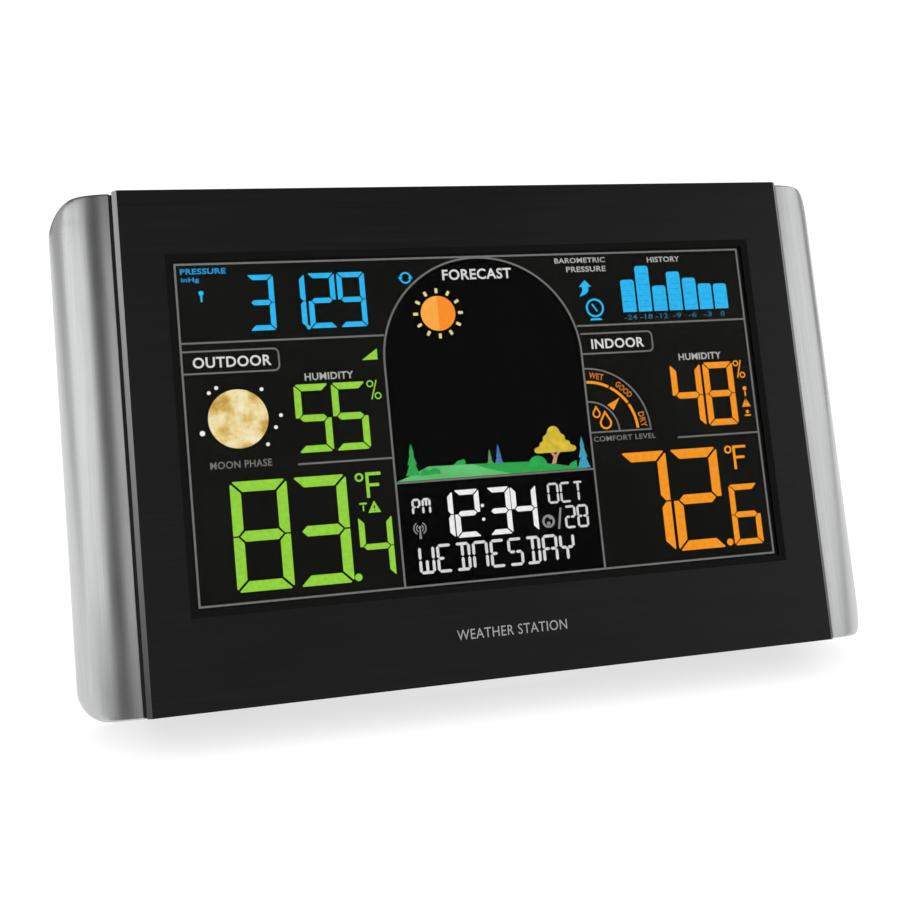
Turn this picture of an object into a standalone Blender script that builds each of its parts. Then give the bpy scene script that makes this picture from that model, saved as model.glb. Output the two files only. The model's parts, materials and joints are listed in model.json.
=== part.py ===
"""Home weather station: a colour-display desk unit leaning back on its fold-out stand.

All sizes below are millimetres. The case is drawn upright in its own frame: X to the
right, the face towards -Y, Z up, with the case's rear bottom edge on the X axis. The
empty called case_frame then leans everything back. The row frame's origin is the
middle of the footprint, on the surface that the station stands on.
"""

from math import cos, pi, radians, sin

import bmesh
import bpy

MM = 0.001

# Driving dimensions of the case
LEAN = radians(21.6)
HEIGHT = 130.0
DEPTH = 27.5
FACE_WIDTH = 184.1
CAP_REACH = 108.4
WALL = 2.0
GAP = 0.3
FOOT_HEIGHT = 0.8
HANGER_PROUD = 1.2

# Front bezel and its window
BEZEL_THICKNESS = 3.2
BEZEL_CHAMFER = 1.2
WINDOW_Z = HEIGHT / 2 + 3.0
WINDOW_FACE = (160.5, 90.7)
WINDOW_INNER = (157.4, 87.4)
WINDOW_LIP = 0.9
LENS_SIZE = (163.0, 93.2)
LENS_THICKNESS = 0.8
LCD_SIZE = (162.4, 92.6)
LCD_THICKNESS = 2.0
GUIDE_THICKNESS = 3.0
TRAY_HALF = (85.0, 50.0)
RIBBON_HALF_WIDTH = 20.0
RIBBON_TOP = 56.0

# Rear housing
HOUSING_HALF_WIDTH = 91.5
HOUSING_FRONT = -DEPTH + BEZEL_THICKNESS + GAP
REAR_ROUNDING = 4.0
SCREW_PLACES = [(-80.0, 8.0), (80.0, 8.0), (-80.0, 122.5), (80.0, 122.5), (-40.0, 122.5), (40.0, 122.5)]

# Side caps
CAP_INNER_X = FACE_WIDTH / 2 + 0.35
CAP_FRONT_Y = -24.9
CAP_WIDEST_Y = -10.2
CAP_REAR_Y = -0.8
CAP_SHOULDER_X = HOUSING_HALF_WIDTH + GAP
CAP_SHOULDER_Y = HOUSING_FRONT
CAP_CORNER = 6.5
PEG_HEIGHTS = (30.0, 100.0)
PEG_Y = -10.0
PEG_RADIUS = 1.4

# Fold-out stand
HINGE_Z = 66.0
HINGE_Y = -2.8
LEG_TILT = radians(10.0)
STAND_ANGLE = LEAN + LEG_TILT
LEG_HALF_WIDTH = 26.0
LEG_FRONT = -1.1
LEG_BACK = 2.3
BARREL_RADIUS = 2.5
PIN_RADIUS = 1.0
RECESS_HALF_WIDTH = 28.0
RECESS_DEPTH = 6.0
HINGE_HEIGHT = FOOT_HEIGHT + HINGE_Z * cos(LEAN) - HINGE_Y * sin(LEAN)

# Battery bay, in the lower left of the back as the face is looked at
BAY_X = (-86.0, -36.0)
BAY_Z = (14.0, 38.0)
BAY_FLOOR = -13.6
CELL_RADIUS = 5.25
CELL_LENGTH = 44.5
CELL_Y = -7.6
CELL_Z = (20.2, 31.8)

# Keys on the back, and the long button on top
KEY_X = 62.0
KEY_PITCH = 12.5
KEY_FIRST_Z = 41.75
KEY_COUNT = 6
KEY_SIZE = (13.0, 6.0)
KEY_PROUD = 1.0
SNOOZE_SIZE = (44.0, 8.0)
SNOOZE_Y = -13.0
SNOOZE_PROUD = 1.5

# Feet, power inlet, buzzer and keyhole
FOOT_X = (62.0, 78.0)
JACK_X = 76.0
JACK_Z = 24.0
BUZZER_X = -20.0
BUZZER_Z = 96.0
KEYHOLE_Z = 106.5

# Circuit boards
BOARD_Y = -15.1
BOARD_THICKNESS = 1.6
ANTENNA_Y = -10.4
KEY_BOARD_Y = (-13.0, -11.4)

COLOURS = {
    "satin_black": ((0.012, 0.012, 0.013), 0.42, 0.0),
    "silver_paint": ((0.56, 0.56, 0.57), 0.32, 0.85),
    "housing_black": ((0.016, 0.016, 0.017), 0.55, 0.0),
    "clear_lens": ((0.9, 0.9, 0.9), 0.05, 0.0),
    "lcd_glass": ((0.008, 0.008, 0.009), 0.2, 0.0),
    "milky_acrylic": ((0.85, 0.87, 0.9), 0.35, 0.0),
    "white_film": ((0.9, 0.9, 0.9), 0.3, 0.0),
    "frame_white": ((0.78, 0.78, 0.76), 0.5, 0.0),
    "rubber": ((0.02, 0.02, 0.02), 0.85, 0.0),
    "steel": ((0.62, 0.62, 0.63), 0.3, 1.0),
    "board_green": ((0.03, 0.2, 0.08), 0.45, 0.0),
    "key_grey": ((0.2, 0.2, 0.21), 0.5, 0.0),
    "part_black": ((0.02, 0.02, 0.022), 0.5, 0.0),
    "sensor_white": ((0.8, 0.82, 0.85), 0.45, 0.0),
    "copper": ((0.8, 0.4, 0.2), 0.35, 1.0),
    "cell_wrap": ((0.03, 0.16, 0.3), 0.35, 0.2),
    "flex_amber": ((0.6, 0.3, 0.05), 0.4, 0.0),
}


# ---------------------------------------------------------------- scene helpers

def clear_scene():
    for item in list(bpy.data.objects):
        bpy.data.objects.remove(item)


def new_collection(name):
    group = bpy.data.collections.new(name)
    bpy.context.scene.collection.children.link(group)
    return group


def make_material(name):
    colour, roughness, metallic = COLOURS[name]
    material = bpy.data.materials.new(name)
    material.use_nodes = True
    shader = material.node_tree.nodes["Principled BSDF"]
    shader.inputs["Base Color"].default_value = (*colour, 1.0)
    shader.inputs["Roughness"].default_value = roughness
    shader.inputs["Metallic"].default_value = metallic
    material.diffuse_color = (*colour, 1.0)
    return material


def new_empty(name, parent=None, location=(0.0, 0.0, 0.0), turn_x=0.0):
    empty = bpy.data.objects.new(name, None)
    PARTS.objects.link(empty)
    empty.parent = parent
    empty.location = [value * MM for value in location]
    empty.rotation_euler = (turn_x, 0.0, 0.0)
    return empty


def place(name, mesh, frame, location, material=None):
    """A part when a material is given, and a hidden cutter or joining shape when not."""
    item = bpy.data.objects.new(name, mesh)
    item.parent = frame
    item.location = [value * MM for value in location]
    if material:
        PARTS.objects.link(item)
        mesh.materials.clear()
        mesh.materials.append(MATERIALS[material])
    else:
        SHAPES.objects.link(item)
        item.hide_render = True
        item.display_type = "WIRE"
    return item


def combine(target, tool, operation="DIFFERENCE"):
    step = target.modifiers.new(tool.name, "BOOLEAN")
    step.operation = operation
    step.solver = "EXACT"
    step.object = tool
    return target


# ---------------------------------------------------------------- basic shapes

def block_mesh(name, size):
    shape = bmesh.new()
    bmesh.ops.create_cube(shape, size=1.0)
    bmesh.ops.scale(shape, vec=[value * MM for value in size], verts=shape.verts)
    mesh = bpy.data.meshes.new(name)
    shape.to_mesh(mesh)
    shape.free()
    return mesh


def block(name, frame, low, high, material=None):
    size = [high[axis] - low[axis] for axis in range(3)]
    centre = [(high[axis] + low[axis]) / 2 for axis in range(3)]
    return place(name, block_mesh(name, size), frame, centre, material)


def rod(name, frame, start, end, radius, material=None, sides=24):
    """A cylinder whose axis runs along X, Y or Z from start to end."""
    span = [end[axis] - start[axis] for axis in range(3)]
    along = max(range(3), key=lambda axis: abs(span[axis]))
    shape = bmesh.new()
    bmesh.ops.create_cone(shape, cap_ends=True, segments=sides, radius1=radius * MM,
                          radius2=radius * MM, depth=abs(span[along]) * MM)
    mesh = bpy.data.meshes.new(name)
    shape.to_mesh(mesh)
    shape.free()
    mesh.shade_smooth()
    mesh.set_sharp_from_angle(angle=radians(40))
    centre = [(end[axis] + start[axis]) / 2 for axis in range(3)]
    item = place(name, mesh, frame, centre, material)
    if along == 0:
        item.rotation_euler = (0.0, pi / 2, 0.0)
    if along == 1:
        item.rotation_euler = (pi / 2, 0.0, 0.0)
    return item


PRISM_TURNS = {"Z": (0.0, 0.0, 0.0), "Y": (pi / 2, 0.0, 0.0), "X": (pi / 2, 0.0, pi / 2)}


def prism(name, frame, outline, low, high, along, material=None):
    """A flat outline made solid from low to high.

    The outline's two numbers are X, Y for a prism along Z, X, Z along Y, and Y, Z along X.
    """
    curve = bpy.data.curves.new(name, "CURVE")
    curve.dimensions = "2D"
    curve.fill_mode = "BOTH"
    curve.extrude = (high - low) / 2 * MM
    line = curve.splines.new("POLY")
    line.points.add(len(outline) - 1)
    for point, (first, second) in zip(line.points, outline):
        point.co = (first * MM, second * MM, 0.0, 1.0)
    line.use_cyclic_u = True
    guide = bpy.data.objects.new(name + "_guide", curve)
    SHAPES.objects.link(guide)
    bpy.context.view_layer.update()
    mesh = bpy.data.meshes.new_from_object(guide.evaluated_get(bpy.context.evaluated_depsgraph_get()))
    bpy.data.objects.remove(guide)
    weld(mesh)
    middle = (low + high) / 2
    location = {"Z": (0.0, 0.0, middle), "Y": (0.0, middle, 0.0), "X": (middle, 0.0, 0.0)}[along]
    item = place(name, mesh, frame, location, material)
    item.rotation_euler = PRISM_TURNS[along]
    return item


def weld(mesh):
    shape = bmesh.new()
    shape.from_mesh(mesh)
    bmesh.ops.remove_doubles(shape, verts=shape.verts, dist=1e-6)
    bmesh.ops.recalc_face_normals(shape, faces=shape.faces)
    shape.to_mesh(mesh)
    shape.free()


def arc(centre, radius, start, end, steps):
    """Points along an ellipse's arc; radius is one number or a pair, angles in degrees."""
    across, up = radius if isinstance(radius, tuple) else (radius, radius)
    points = []
    for step in range(steps + 1):
        angle = radians(start + (end - start) * step / steps)
        points.append((centre[0] + across * cos(angle), centre[1] + up * sin(angle)))
    return points


def rounded_outline(low, high, radius, steps=4):
    """A rectangle with round corners, from its low and high corners."""
    points = []
    corners = [(high[0] - radius, low[1] + radius, -90), (high[0] - radius, high[1] - radius, 0),
               (low[0] + radius, high[1] - radius, 90), (low[0] + radius, low[1] + radius, 180)]
    for across, up, start in corners:
        points += arc((across, up), radius, start, start + 90, steps)
    return points


def turned(name, frame, profile, location, material, direction, sides=16):
    """A turned shape: profile lists radius and height from the top down its outer side."""
    mesh = bpy.data.meshes.new(name)
    points = [(radius * MM, 0.0, height * MM) for radius, height in profile]
    edges = [(index, index + 1) for index in range(len(points) - 1)]
    mesh.from_pydata(points, edges, [])
    item = place(name, mesh, frame, location, material)
    item.rotation_euler = direction
    spin = item.modifiers.new("turn", "SCREW")
    spin.steps = sides
    spin.render_steps = sides
    spin.use_merge_vertices = True
    spin.merge_threshold = 0.00001
    spin.use_smooth_shade = True
    return item


def wire(name, frame, points, radius, material):
    curve = bpy.data.curves.new(name, "CURVE")
    curve.dimensions = "3D"
    curve.bevel_depth = radius * MM
    curve.bevel_resolution = 2
    curve.use_fill_caps = True
    line = curve.splines.new("POLY")
    line.points.add(len(points) - 1)
    for point, place_mm in zip(line.points, points):
        point.co = (*[value * MM for value in place_mm], 1.0)
    curve.materials.append(MATERIALS[material])
    item = bpy.data.objects.new(name, curve)
    PARTS.objects.link(item)
    item.parent = frame
    return item


# ---------------------------------------------------------------- front of the case

def tapered_window(frame):
    """The cutter of the window's sloping edge, wider at the face than at the lip."""
    shape = bmesh.new()
    bmesh.ops.create_cube(shape, size=1.0)
    front, back = -DEPTH - 1.0, -DEPTH + WINDOW_LIP + 0.6
    reach = (front + DEPTH) / WINDOW_LIP
    for corner in shape.verts:
        share = reach if corner.co.y < 0 else (back + DEPTH) / WINDOW_LIP
        width = WINDOW_FACE[0] + (WINDOW_INNER[0] - WINDOW_FACE[0]) * share
        height = WINDOW_FACE[1] + (WINDOW_INNER[1] - WINDOW_FACE[1]) * share
        corner.co.x *= width * MM
        corner.co.z *= height * MM
        corner.co.y = (front if corner.co.y < 0 else back) * MM
    mesh = bpy.data.meshes.new("window_cut")
    shape.to_mesh(mesh)
    shape.free()
    return place("window_cut", mesh, frame, (0.0, 0.0, WINDOW_Z))


def build_bezel(frame):
    half = FACE_WIDTH / 2
    back = -DEPTH + BEZEL_THICKNESS
    outline = [(-half, back), (half, back), (half, -DEPTH + BEZEL_CHAMFER),
               (half - BEZEL_CHAMFER, -DEPTH), (-half + BEZEL_CHAMFER, -DEPTH),
               (-half, -DEPTH + BEZEL_CHAMFER)]
    bezel = prism("front_bezel", frame, outline, 0.0, HEIGHT, "Z", "satin_black")
    for index, (x, z) in enumerate(SCREW_PLACES):
        boss = rod(f"bezel_boss_{index}", frame, (x, -25.0, z), (x, -13.0, z), 3.2, sides=16)
        combine(bezel, boss, "UNION")
        pilot = rod(f"bezel_pilot_{index}", frame, (x, -23.5, z), (x, -12.0, z), 1.6, sides=12)
        combine(bezel, pilot)
    combine(bezel, tapered_window(frame))
    pocket_x, pocket_z = LENS_SIZE[0] / 2 + GAP, LENS_SIZE[1] / 2 + GAP
    pocket = block("lens_pocket", frame, (-pocket_x, -DEPTH + WINDOW_LIP, WINDOW_Z - pocket_z),
                   (pocket_x, back + 1.0, WINDOW_Z + pocket_z))
    return combine(bezel, pocket)


def build_display_stack(frame):
    """Lens, liquid crystal panel, light guide, reflector and the tray that holds them."""
    lens_front = -DEPTH + WINDOW_LIP + GAP
    lcd_front = lens_front + LENS_THICKNESS + GAP
    guide_front = lcd_front + LCD_THICKNESS + GAP
    film_front = guide_front + GUIDE_THICKNESS + GAP
    half_x, half_z = LENS_SIZE[0] / 2, LENS_SIZE[1] / 2
    block("display_lens", frame, (-half_x, lens_front, WINDOW_Z - half_z),
          (half_x, lens_front + LENS_THICKNESS, WINDOW_Z + half_z), "clear_lens")
    half_x, half_z = LCD_SIZE[0] / 2, LCD_SIZE[1] / 2
    low, high = WINDOW_Z - half_z, WINDOW_Z + half_z
    lcd_back = lcd_front + LCD_THICKNESS
    guide_back = guide_front + GUIDE_THICKNESS
    strip_edge = -half_x + 2.0
    block("lcd_panel", frame, (-half_x, lcd_front, low), (half_x, lcd_back, high), "lcd_glass")
    block("led_strip", frame, (-half_x, guide_front, low + 2.0), (strip_edge, guide_back, high - 2.0),
          "board_green")
    block("light_guide", frame, (strip_edge + GAP, guide_front, low), (half_x, guide_back, high),
          "milky_acrylic")
    block("reflector_film", frame, (-half_x, film_front, low), (half_x, film_front + 0.4, high),
          "white_film")
    build_tray(frame, film_front, half_x, (low, high))
    build_ribbon(frame, film_front + 2.0, low)


def build_tray(frame, film_front, half_x, rows):
    """The white frame behind the window; a notch in its lower edge lets the ribbon out."""
    low, high = rows
    tray_front = -DEPTH + BEZEL_THICKNESS + GAP
    tray = block("lcd_tray", frame, (-TRAY_HALF[0], tray_front, WINDOW_Z - TRAY_HALF[1]),
                 (TRAY_HALF[0], film_front + 2.0, WINDOW_Z + TRAY_HALF[1]), "frame_white")
    pocket = block("tray_pocket", frame, (-half_x - 0.4, tray_front - 1.0, low - 0.4),
                   (half_x + 0.4, film_front + 0.4 + GAP, high + 0.4))
    combine(tray, pocket)
    notch_half = RIBBON_HALF_WIDTH + 2.5
    notch = block("tray_notch", frame, (-notch_half, tray_front - 1.0, WINDOW_Z - TRAY_HALF[1] - 2.0),
                  (notch_half, -19.6, low))
    combine(tray, notch)


def build_ribbon(frame, tray_back, low):
    """The flat cable: down from the panel, under the tray and up to the main board."""
    path = [(-22.0, low - 0.7), (-22.0, 16.8), (-21.3, 15.6), (-18.4, 15.6),
            (tray_back + 0.9, 16.8), (tray_back + 0.9, RIBBON_TOP)]
    inner = [(-21.7, low - 0.7), (-21.7, 17.1), (-21.0, 15.9), (-18.7, 15.9),
             (tray_back + 0.6, 17.1), (tray_back + 0.6, RIBBON_TOP)]
    prism("lcd_ribbon", frame, path + inner[::-1], -RIBBON_HALF_WIDTH, RIBBON_HALF_WIDTH, "X",
          "flex_amber")


# ---------------------------------------------------------------- back of the case

def housing_outline():
    """The case's section from front to back, with its two rear edges rounded."""
    low, high, r = GAP, HEIGHT - GAP, REAR_ROUNDING
    outline = [(HOUSING_FRONT, high), (HOUSING_FRONT, low)]
    outline += arc((-r, low + r), r, -90, 0, 5)
    outline += arc((-r, high - r), r, 0, 90, 5)
    return outline


def add_housing_walls(housing, frame):
    """The posts and pocket walls that stand inside the back shell."""
    for index, (x, z) in enumerate(SCREW_PLACES):
        combine(housing, rod(f"post_{index}", frame, (x, -12.0, z), (x, -1.5, z), 4.5, sides=16), "UNION")
    walls = {
        "stand_wall": ((-31.0, -8.0, 1.0), (31.0, -1.0, HINGE_Z + 8.0)),
        "bay_wall": ((-HOUSING_HALF_WIDTH + 1.3, BAY_FLOOR - 1.6, BAY_Z[0] - 1.6),
                     (BAY_X[1] + 1.6, -1.0, BAY_Z[1] + 1.6)),
        "hanger_wall": ((-8.0, -8.2, 100.0), (8.0, -1.0, 121.0)),
        "hanger_pad": ((-10.0, -1.0, 98.0), (10.0, HANGER_PROUD, 123.0)),
    }
    for name, (low, high) in walls.items():
        combine(housing, block(name, frame, low, high), "UNION")


def cut_hanger(housing, frame):
    """A keyhole: a round entry, a slot above it, and room behind the wall for the screw head."""
    entry = rod("hanger_entry", frame, (0.0, -6.6, KEYHOLE_Z), (0.0, 2.0, KEYHOLE_Z), 4.6)
    combine(housing, entry)
    combine(housing, block("hanger_slot", frame, (-2.2, -3.0, KEYHOLE_Z), (2.2, 2.0, KEYHOLE_Z + 9.5)))
    combine(housing, block("hanger_room", frame, (-4.8, -6.6, KEYHOLE_Z), (4.8, -2.1, KEYHOLE_Z + 12.1)))


def cut_vents(housing, frame):
    for index in range(6):
        z = 84.0 + index * 4.2
        combine(housing, block(f"vent_{index}", frame, (-82.0, -3.0, z), (-64.0, 1.0, z + 1.8)))
    for index in range(7):
        angle = radians(60 * index)
        reach = 3.4 if index < 6 else 0.0
        x, z = BUZZER_X + reach * cos(angle), BUZZER_Z + reach * sin(angle)
        combine(housing, rod(f"sound_hole_{index}", frame, (x, -3.0, z), (x, 1.0, z), 0.8, sides=12))


def cut_stand_recess(housing, frame):
    """The stand's recess, open at the bottom edge, and the blind holes that hold its pin."""
    half = RECESS_HALF_WIDTH
    recess = block("stand_recess", frame, (-half, -RECESS_DEPTH, -1.0), (half, 1.0, HINGE_Z + 5.0))
    combine(housing, recess)
    pin_end = half + 1.8
    pin_hole = rod("pin_hole", frame, (-pin_end, HINGE_Y, HINGE_Z), (pin_end, HINGE_Y, HINGE_Z),
                   PIN_RADIUS + GAP, sides=16)
    combine(housing, pin_hole)


def cut_battery_bay(housing, frame):
    """The cells' room, the rebate that the cover sits in, and the notch for its latch."""
    margin = 1.8
    combine(housing, block("bay", frame, (BAY_X[0], BAY_FLOOR, BAY_Z[0]), (BAY_X[1], 1.0, BAY_Z[1])))
    rebate = block("bay_rebate", frame, (BAY_X[0] - margin, -2.2, BAY_Z[0] - margin),
                   (BAY_X[1] + margin, 1.0, BAY_Z[1] + margin))
    combine(housing, rebate)
    notch = block("latch_notch", frame, (-66.0, -2.2, BAY_Z[1] + 1.0), (-56.0, 1.0, BAY_Z[1] + 5.0))
    combine(housing, notch)


def cut_controls(housing, frame):
    """The openings of the rear keys, the top button and the power inlet."""
    half_x, half_z = KEY_SIZE[0] / 2 + 0.35, KEY_SIZE[1] / 2 + 0.35
    for index in range(KEY_COUNT):
        z = KEY_FIRST_Z + index * KEY_PITCH
        key_hole = block(f"key_hole_{index}", frame, (KEY_X - half_x, -3.0, z - half_z),
                         (KEY_X + half_x, 1.0, z + half_z))
        combine(housing, key_hole)
    half_x, half_y = SNOOZE_SIZE[0] / 2 + 0.35, SNOOZE_SIZE[1] / 2 + 0.35
    combine(housing, block("snooze_hole", frame, (-half_x, SNOOZE_Y - half_y, HEIGHT - 4.0),
                           (half_x, SNOOZE_Y + half_y, HEIGHT + 1.0)))
    combine(housing, rod("jack_hole", frame, (JACK_X, -3.0, JACK_Z), (JACK_X, 1.0, JACK_Z), 4.2))


def cut_fixings(housing, frame):
    """The screws' bores, the cap pegs' holes and the feet's notches."""
    for index, (x, z) in enumerate(SCREW_PLACES):
        combine(housing, rod(f"head_bore_{index}", frame, (x, -4.0, z), (x, 1.0, z), 3.3, sides=20))
        combine(housing, rod(f"shank_bore_{index}", frame, (x, -13.0, z), (x, -3.5, z), 1.7, sides=12))
    for side in (-1, 1):
        for z in PEG_HEIGHTS:
            start = (side * (HOUSING_HALF_WIDTH - 3.0), PEG_Y, z)
            end = (side * (HOUSING_HALF_WIDTH + 1.0), PEG_Y, z)
            peg_hole = rod(f"peg_hole_{side}_{z:.0f}", frame, start, end, PEG_RADIUS + 0.4, sides=12)
            combine(housing, peg_hole)
        low_x, high_x = sorted((side * (FOOT_X[0] - GAP), side * (FOOT_X[1] + GAP)))
        combine(housing, block(f"foot_notch_{side}", frame, (low_x, -2.8, -1.0), (high_x, 1.0, 3.5)))


def build_housing(frame):
    half = HOUSING_HALF_WIDTH
    housing = prism("rear_housing", frame, housing_outline(), -half, half, "X", "housing_black")
    inside = block("housing_inside", frame, (-half + WALL, HOUSING_FRONT - 1.0, GAP + WALL),
                   (half - WALL, -WALL, HEIGHT - GAP - WALL))
    combine(housing, inside)
    add_housing_walls(housing, frame)
    cut_stand_recess(housing, frame)
    cut_battery_bay(housing, frame)
    cut_fixings(housing, frame)
    cut_controls(housing, frame)
    cut_hanger(housing, frame)
    cut_vents(housing, frame)
    return housing


def cap_plan(side, inset):
    """The cap's outline seen from above, drawn in by inset for the hollow inside it.

    Its shoulder hooks behind the panel's edge, so that no light shows between the two.
    """
    reach = CAP_REACH - CAP_INNER_X - inset
    inner = CAP_INNER_X - 1.0
    front_depth = CAP_WIDEST_Y - CAP_FRONT_Y - inset
    rear_depth = CAP_REAR_Y - CAP_WIDEST_Y - inset
    front = arc((CAP_INNER_X, CAP_WIDEST_Y), (reach, front_depth), -90, 0, 9)
    back = arc((CAP_REACH - 12.0, CAP_WIDEST_Y), (12.0 - inset, rear_depth), 0, 90, 6)
    outline = front + back[1:]
    if inset:
        outline += [(inner, CAP_REAR_Y - inset), (inner, CAP_FRONT_Y + inset)]
    else:
        outline += [(CAP_SHOULDER_X, CAP_REAR_Y), (CAP_SHOULDER_X, CAP_SHOULDER_Y)]
        outline.append((CAP_INNER_X, CAP_SHOULDER_Y))
    return [(side * x, y) for x, y in outline]


def build_cap(frame, name, side):
    """A hollow end piece with round outer corners, held by two pegs in the back shell."""
    cap = prism(name, frame, cap_plan(side, 0.0), 0.0, HEIGHT, "Z", "silver_paint")
    outer = CAP_REACH + 1.0
    centre_x = CAP_REACH - CAP_CORNER
    face = [(CAP_INNER_X - 1.0, 0.0), (centre_x, 0.0)]
    face += arc((centre_x, CAP_CORNER), CAP_CORNER, -90, -10, 6)[1:]
    face += [(outer, CAP_CORNER), (outer, HEIGHT - CAP_CORNER)]
    face += arc((centre_x, HEIGHT - CAP_CORNER), CAP_CORNER, 10, 90, 6)
    face.append((CAP_INNER_X - 1.0, HEIGHT))
    face = [(side * x, z) for x, z in face]
    rounding = prism(name + "_rounding", frame, face, -DEPTH, 2.0, "Y")
    combine(cap, rounding, "INTERSECT")
    combine(cap, prism(name + "_hollow", frame, cap_plan(side, 1.8), 6.0, HEIGHT - 6.0, "Z"))
    for z in PEG_HEIGHTS:
        start = (side * (HOUSING_HALF_WIDTH - 1.3), PEG_Y, z)
        end = (side * (CAP_REACH - 1.0), PEG_Y, z)
        combine(cap, rod(f"{name}_peg_{z:.0f}", frame, start, end, PEG_RADIUS, sides=12), "UNION")
    return cap


def build_screw(frame, index, x, z):
    profile = [(0.0, 0.0), (2.2, 0.0), (2.9, -0.6), (2.9, -1.8), (1.3, -1.8), (1.3, -15.0),
               (0.0, -16.2)]
    screw = turned(f"case_screw_{index + 1}", frame, profile, (x, -1.9, z), "steel", (-pi / 2, 0.0, 0.0))
    for turn, size in enumerate(((3.2, 0.7), (0.7, 3.2))):
        low = (x - size[0] / 2, -3.0, z - size[1] / 2)
        high = (x + size[0] / 2, -1.0, z + size[1] / 2)
        combine(screw, block(f"cross_{index}_{turn}", frame, low, high))
    return screw


def build_foot(frame, name, side):
    """A rubber strip in the case's rear bottom edge; its sole is level when the case leans."""
    def sole(y):
        return (y * sin(LEAN) - FOOT_HEIGHT) / cos(LEAN)
    outline = [(-2.5, sole(-2.5)), (1.0, sole(1.0)), (1.0, 2.0), (0.4, 3.2), (-2.5, 3.2)]
    low, high = sorted((side * FOOT_X[0], side * FOOT_X[1]))
    return prism(name, frame, outline, low, high, "X", "rubber")


# ---------------------------------------------------------------- stand

def build_stand(frame, hinge_frame):
    """The leg in its own frame: the hinge axis is X, and the leg hangs along -Z."""
    def sole(y):
        return -(HINGE_HEIGHT + y * sin(LEG_TILT)) / cos(LEG_TILT)
    leg_end = sole(LEG_BACK) + 3.2
    half = LEG_HALF_WIDTH
    outline = [(-half, 3.2), (-half, -30.0), (-half + 3.0, leg_end + 4.0)]
    outline += arc((-half + 7.0, leg_end + 4.0), 4.0, 180, 270, 3)
    outline += arc((half - 7.0, leg_end + 4.0), 4.0, 270, 360, 3)
    outline += [(half, -30.0), (half, 3.2)]
    leg = prism("kickstand", hinge_frame, outline, LEG_FRONT, LEG_BACK, "Y", "housing_black")
    barrel = rod("leg_barrel", hinge_frame, (-half, 0.0, 0.0), (half, 0.0, 0.0), BARREL_RADIUS, sides=20)
    combine(leg, barrel, "UNION")
    bore_end = half + 1.0
    bore = rod("leg_bore", hinge_frame, (-bore_end, 0.0, 0.0), (bore_end, 0.0, 0.0), PIN_RADIUS + GAP,
               sides=16)
    combine(leg, bore)
    grip = rod("leg_grip", hinge_frame, (0.0, 1.2, leg_end + 1.0), (0.0, 4.0, leg_end + 1.0), 9.0)
    combine(leg, grip)
    for index in (-1, 1):
        low, high = sorted((index * 8.0, index * 18.0))
        panel = block(f"leg_panel_{index}", hinge_frame, (low, LEG_BACK - 0.8, -44.0),
                      (high, LEG_BACK + 1.0, -10.0))
        combine(leg, panel)
    pad = [(-1.4, leg_end - GAP), (-1.4, sole(-1.4)), (2.6, sole(2.6)), (2.6, leg_end - GAP)]
    prism("stand_pad", hinge_frame, pad, -18.0, 18.0, "X", "rubber")
    pin_end = RECESS_HALF_WIDTH + 1.4
    rod("hinge_pin", frame, (-pin_end, HINGE_Y, HINGE_Z), (pin_end, HINGE_Y, HINGE_Z), PIN_RADIUS, "steel",
        sides=16)


# ---------------------------------------------------------------- power

def build_battery_bay(frame):
    cover = block("battery_cover", frame, (BAY_X[0] - 1.5, -1.9, BAY_Z[0] - 1.5),
                  (BAY_X[1] + 1.5, 0.0, BAY_Z[1] + 1.5), "housing_black")
    tab = block("cover_tab", frame, (-65.6, -1.9, BAY_Z[1]), (-56.4, -0.6, BAY_Z[1] + 4.6))
    combine(cover, tab, "UNION")
    for index in range(5):
        z = 22.0 + index * 2.0
        combine(cover, block(f"cover_grip_{index}", frame, (-67.0, -0.6, z), (-55.0, 1.0, z + 0.9)))
    profile = [(0.0, 0.0), (1.9, 0.0), (1.9, -1.0), (4.6, -1.0), (CELL_RADIUS, -1.6),
               (CELL_RADIUS, -CELL_LENGTH + 0.6), (4.7, -CELL_LENGTH), (0.0, -CELL_LENGTH)]
    turned("battery_1", frame, profile, (BAY_X[1] - 1.0, CELL_Y, CELL_Z[0]), "cell_wrap",
           (0.0, pi / 2, 0.0))
    turned("battery_2", frame, profile, (BAY_X[0] + 1.0, CELL_Y, CELL_Z[1]), "cell_wrap",
           (0.0, -pi / 2, 0.0))
    bridge, inner = BAY_X[0] + GAP, BAY_X[1] - GAP
    block("contact_bridge", frame, (bridge, -12.4, 15.2), (bridge + 0.4, -2.8, 36.8), "steel")
    block("contact_plus", frame, (inner - 0.4, -12.4, 15.4), (inner, -2.8, 25.2), "steel")
    block("contact_minus", frame, (inner - 0.4, -12.4, 26.8), (inner, -2.8, 36.6), "steel")
    build_spring(frame, "battery_spring_1", BAY_X[0] + 1.35, CELL_Z[0], 1)
    build_spring(frame, "battery_spring_2", BAY_X[1] - 1.35, CELL_Z[1], -1)


def build_spring(frame, name, start_x, z, direction):
    """A cone-shaped contact spring that narrows towards the cell."""
    turns, steps, length = 3, 12, 2.6
    points = []
    for step in range(turns * steps + 1):
        share = step / (turns * steps)
        angle = 2 * pi * turns * share
        radius = 3.9 - 1.5 * share
        x = start_x + direction * length * share
        points.append((x, CELL_Y + radius * cos(angle), z + radius * sin(angle)))
    wire(name, frame, points, 0.3, "steel")


def build_jack(frame):
    x, z = JACK_X, JACK_Z
    jack = block("dc_jack", frame, (x - 4.5, -14.0, z - 5.5), (x + 4.5, -2.4, z + 5.5), "part_black")
    combine(jack, rod("jack_collar", frame, (x, -3.0, z), (x, -0.4, z), 3.8), "UNION")
    combine(jack, rod("jack_bore", frame, (x, -11.5, z), (x, 1.0, z), 2.8))
    combine(jack, rod("jack_pin", frame, (x, -12.0, z), (x, -2.0, z), 0.9, sides=12), "UNION")


# ---------------------------------------------------------------- keys

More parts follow.
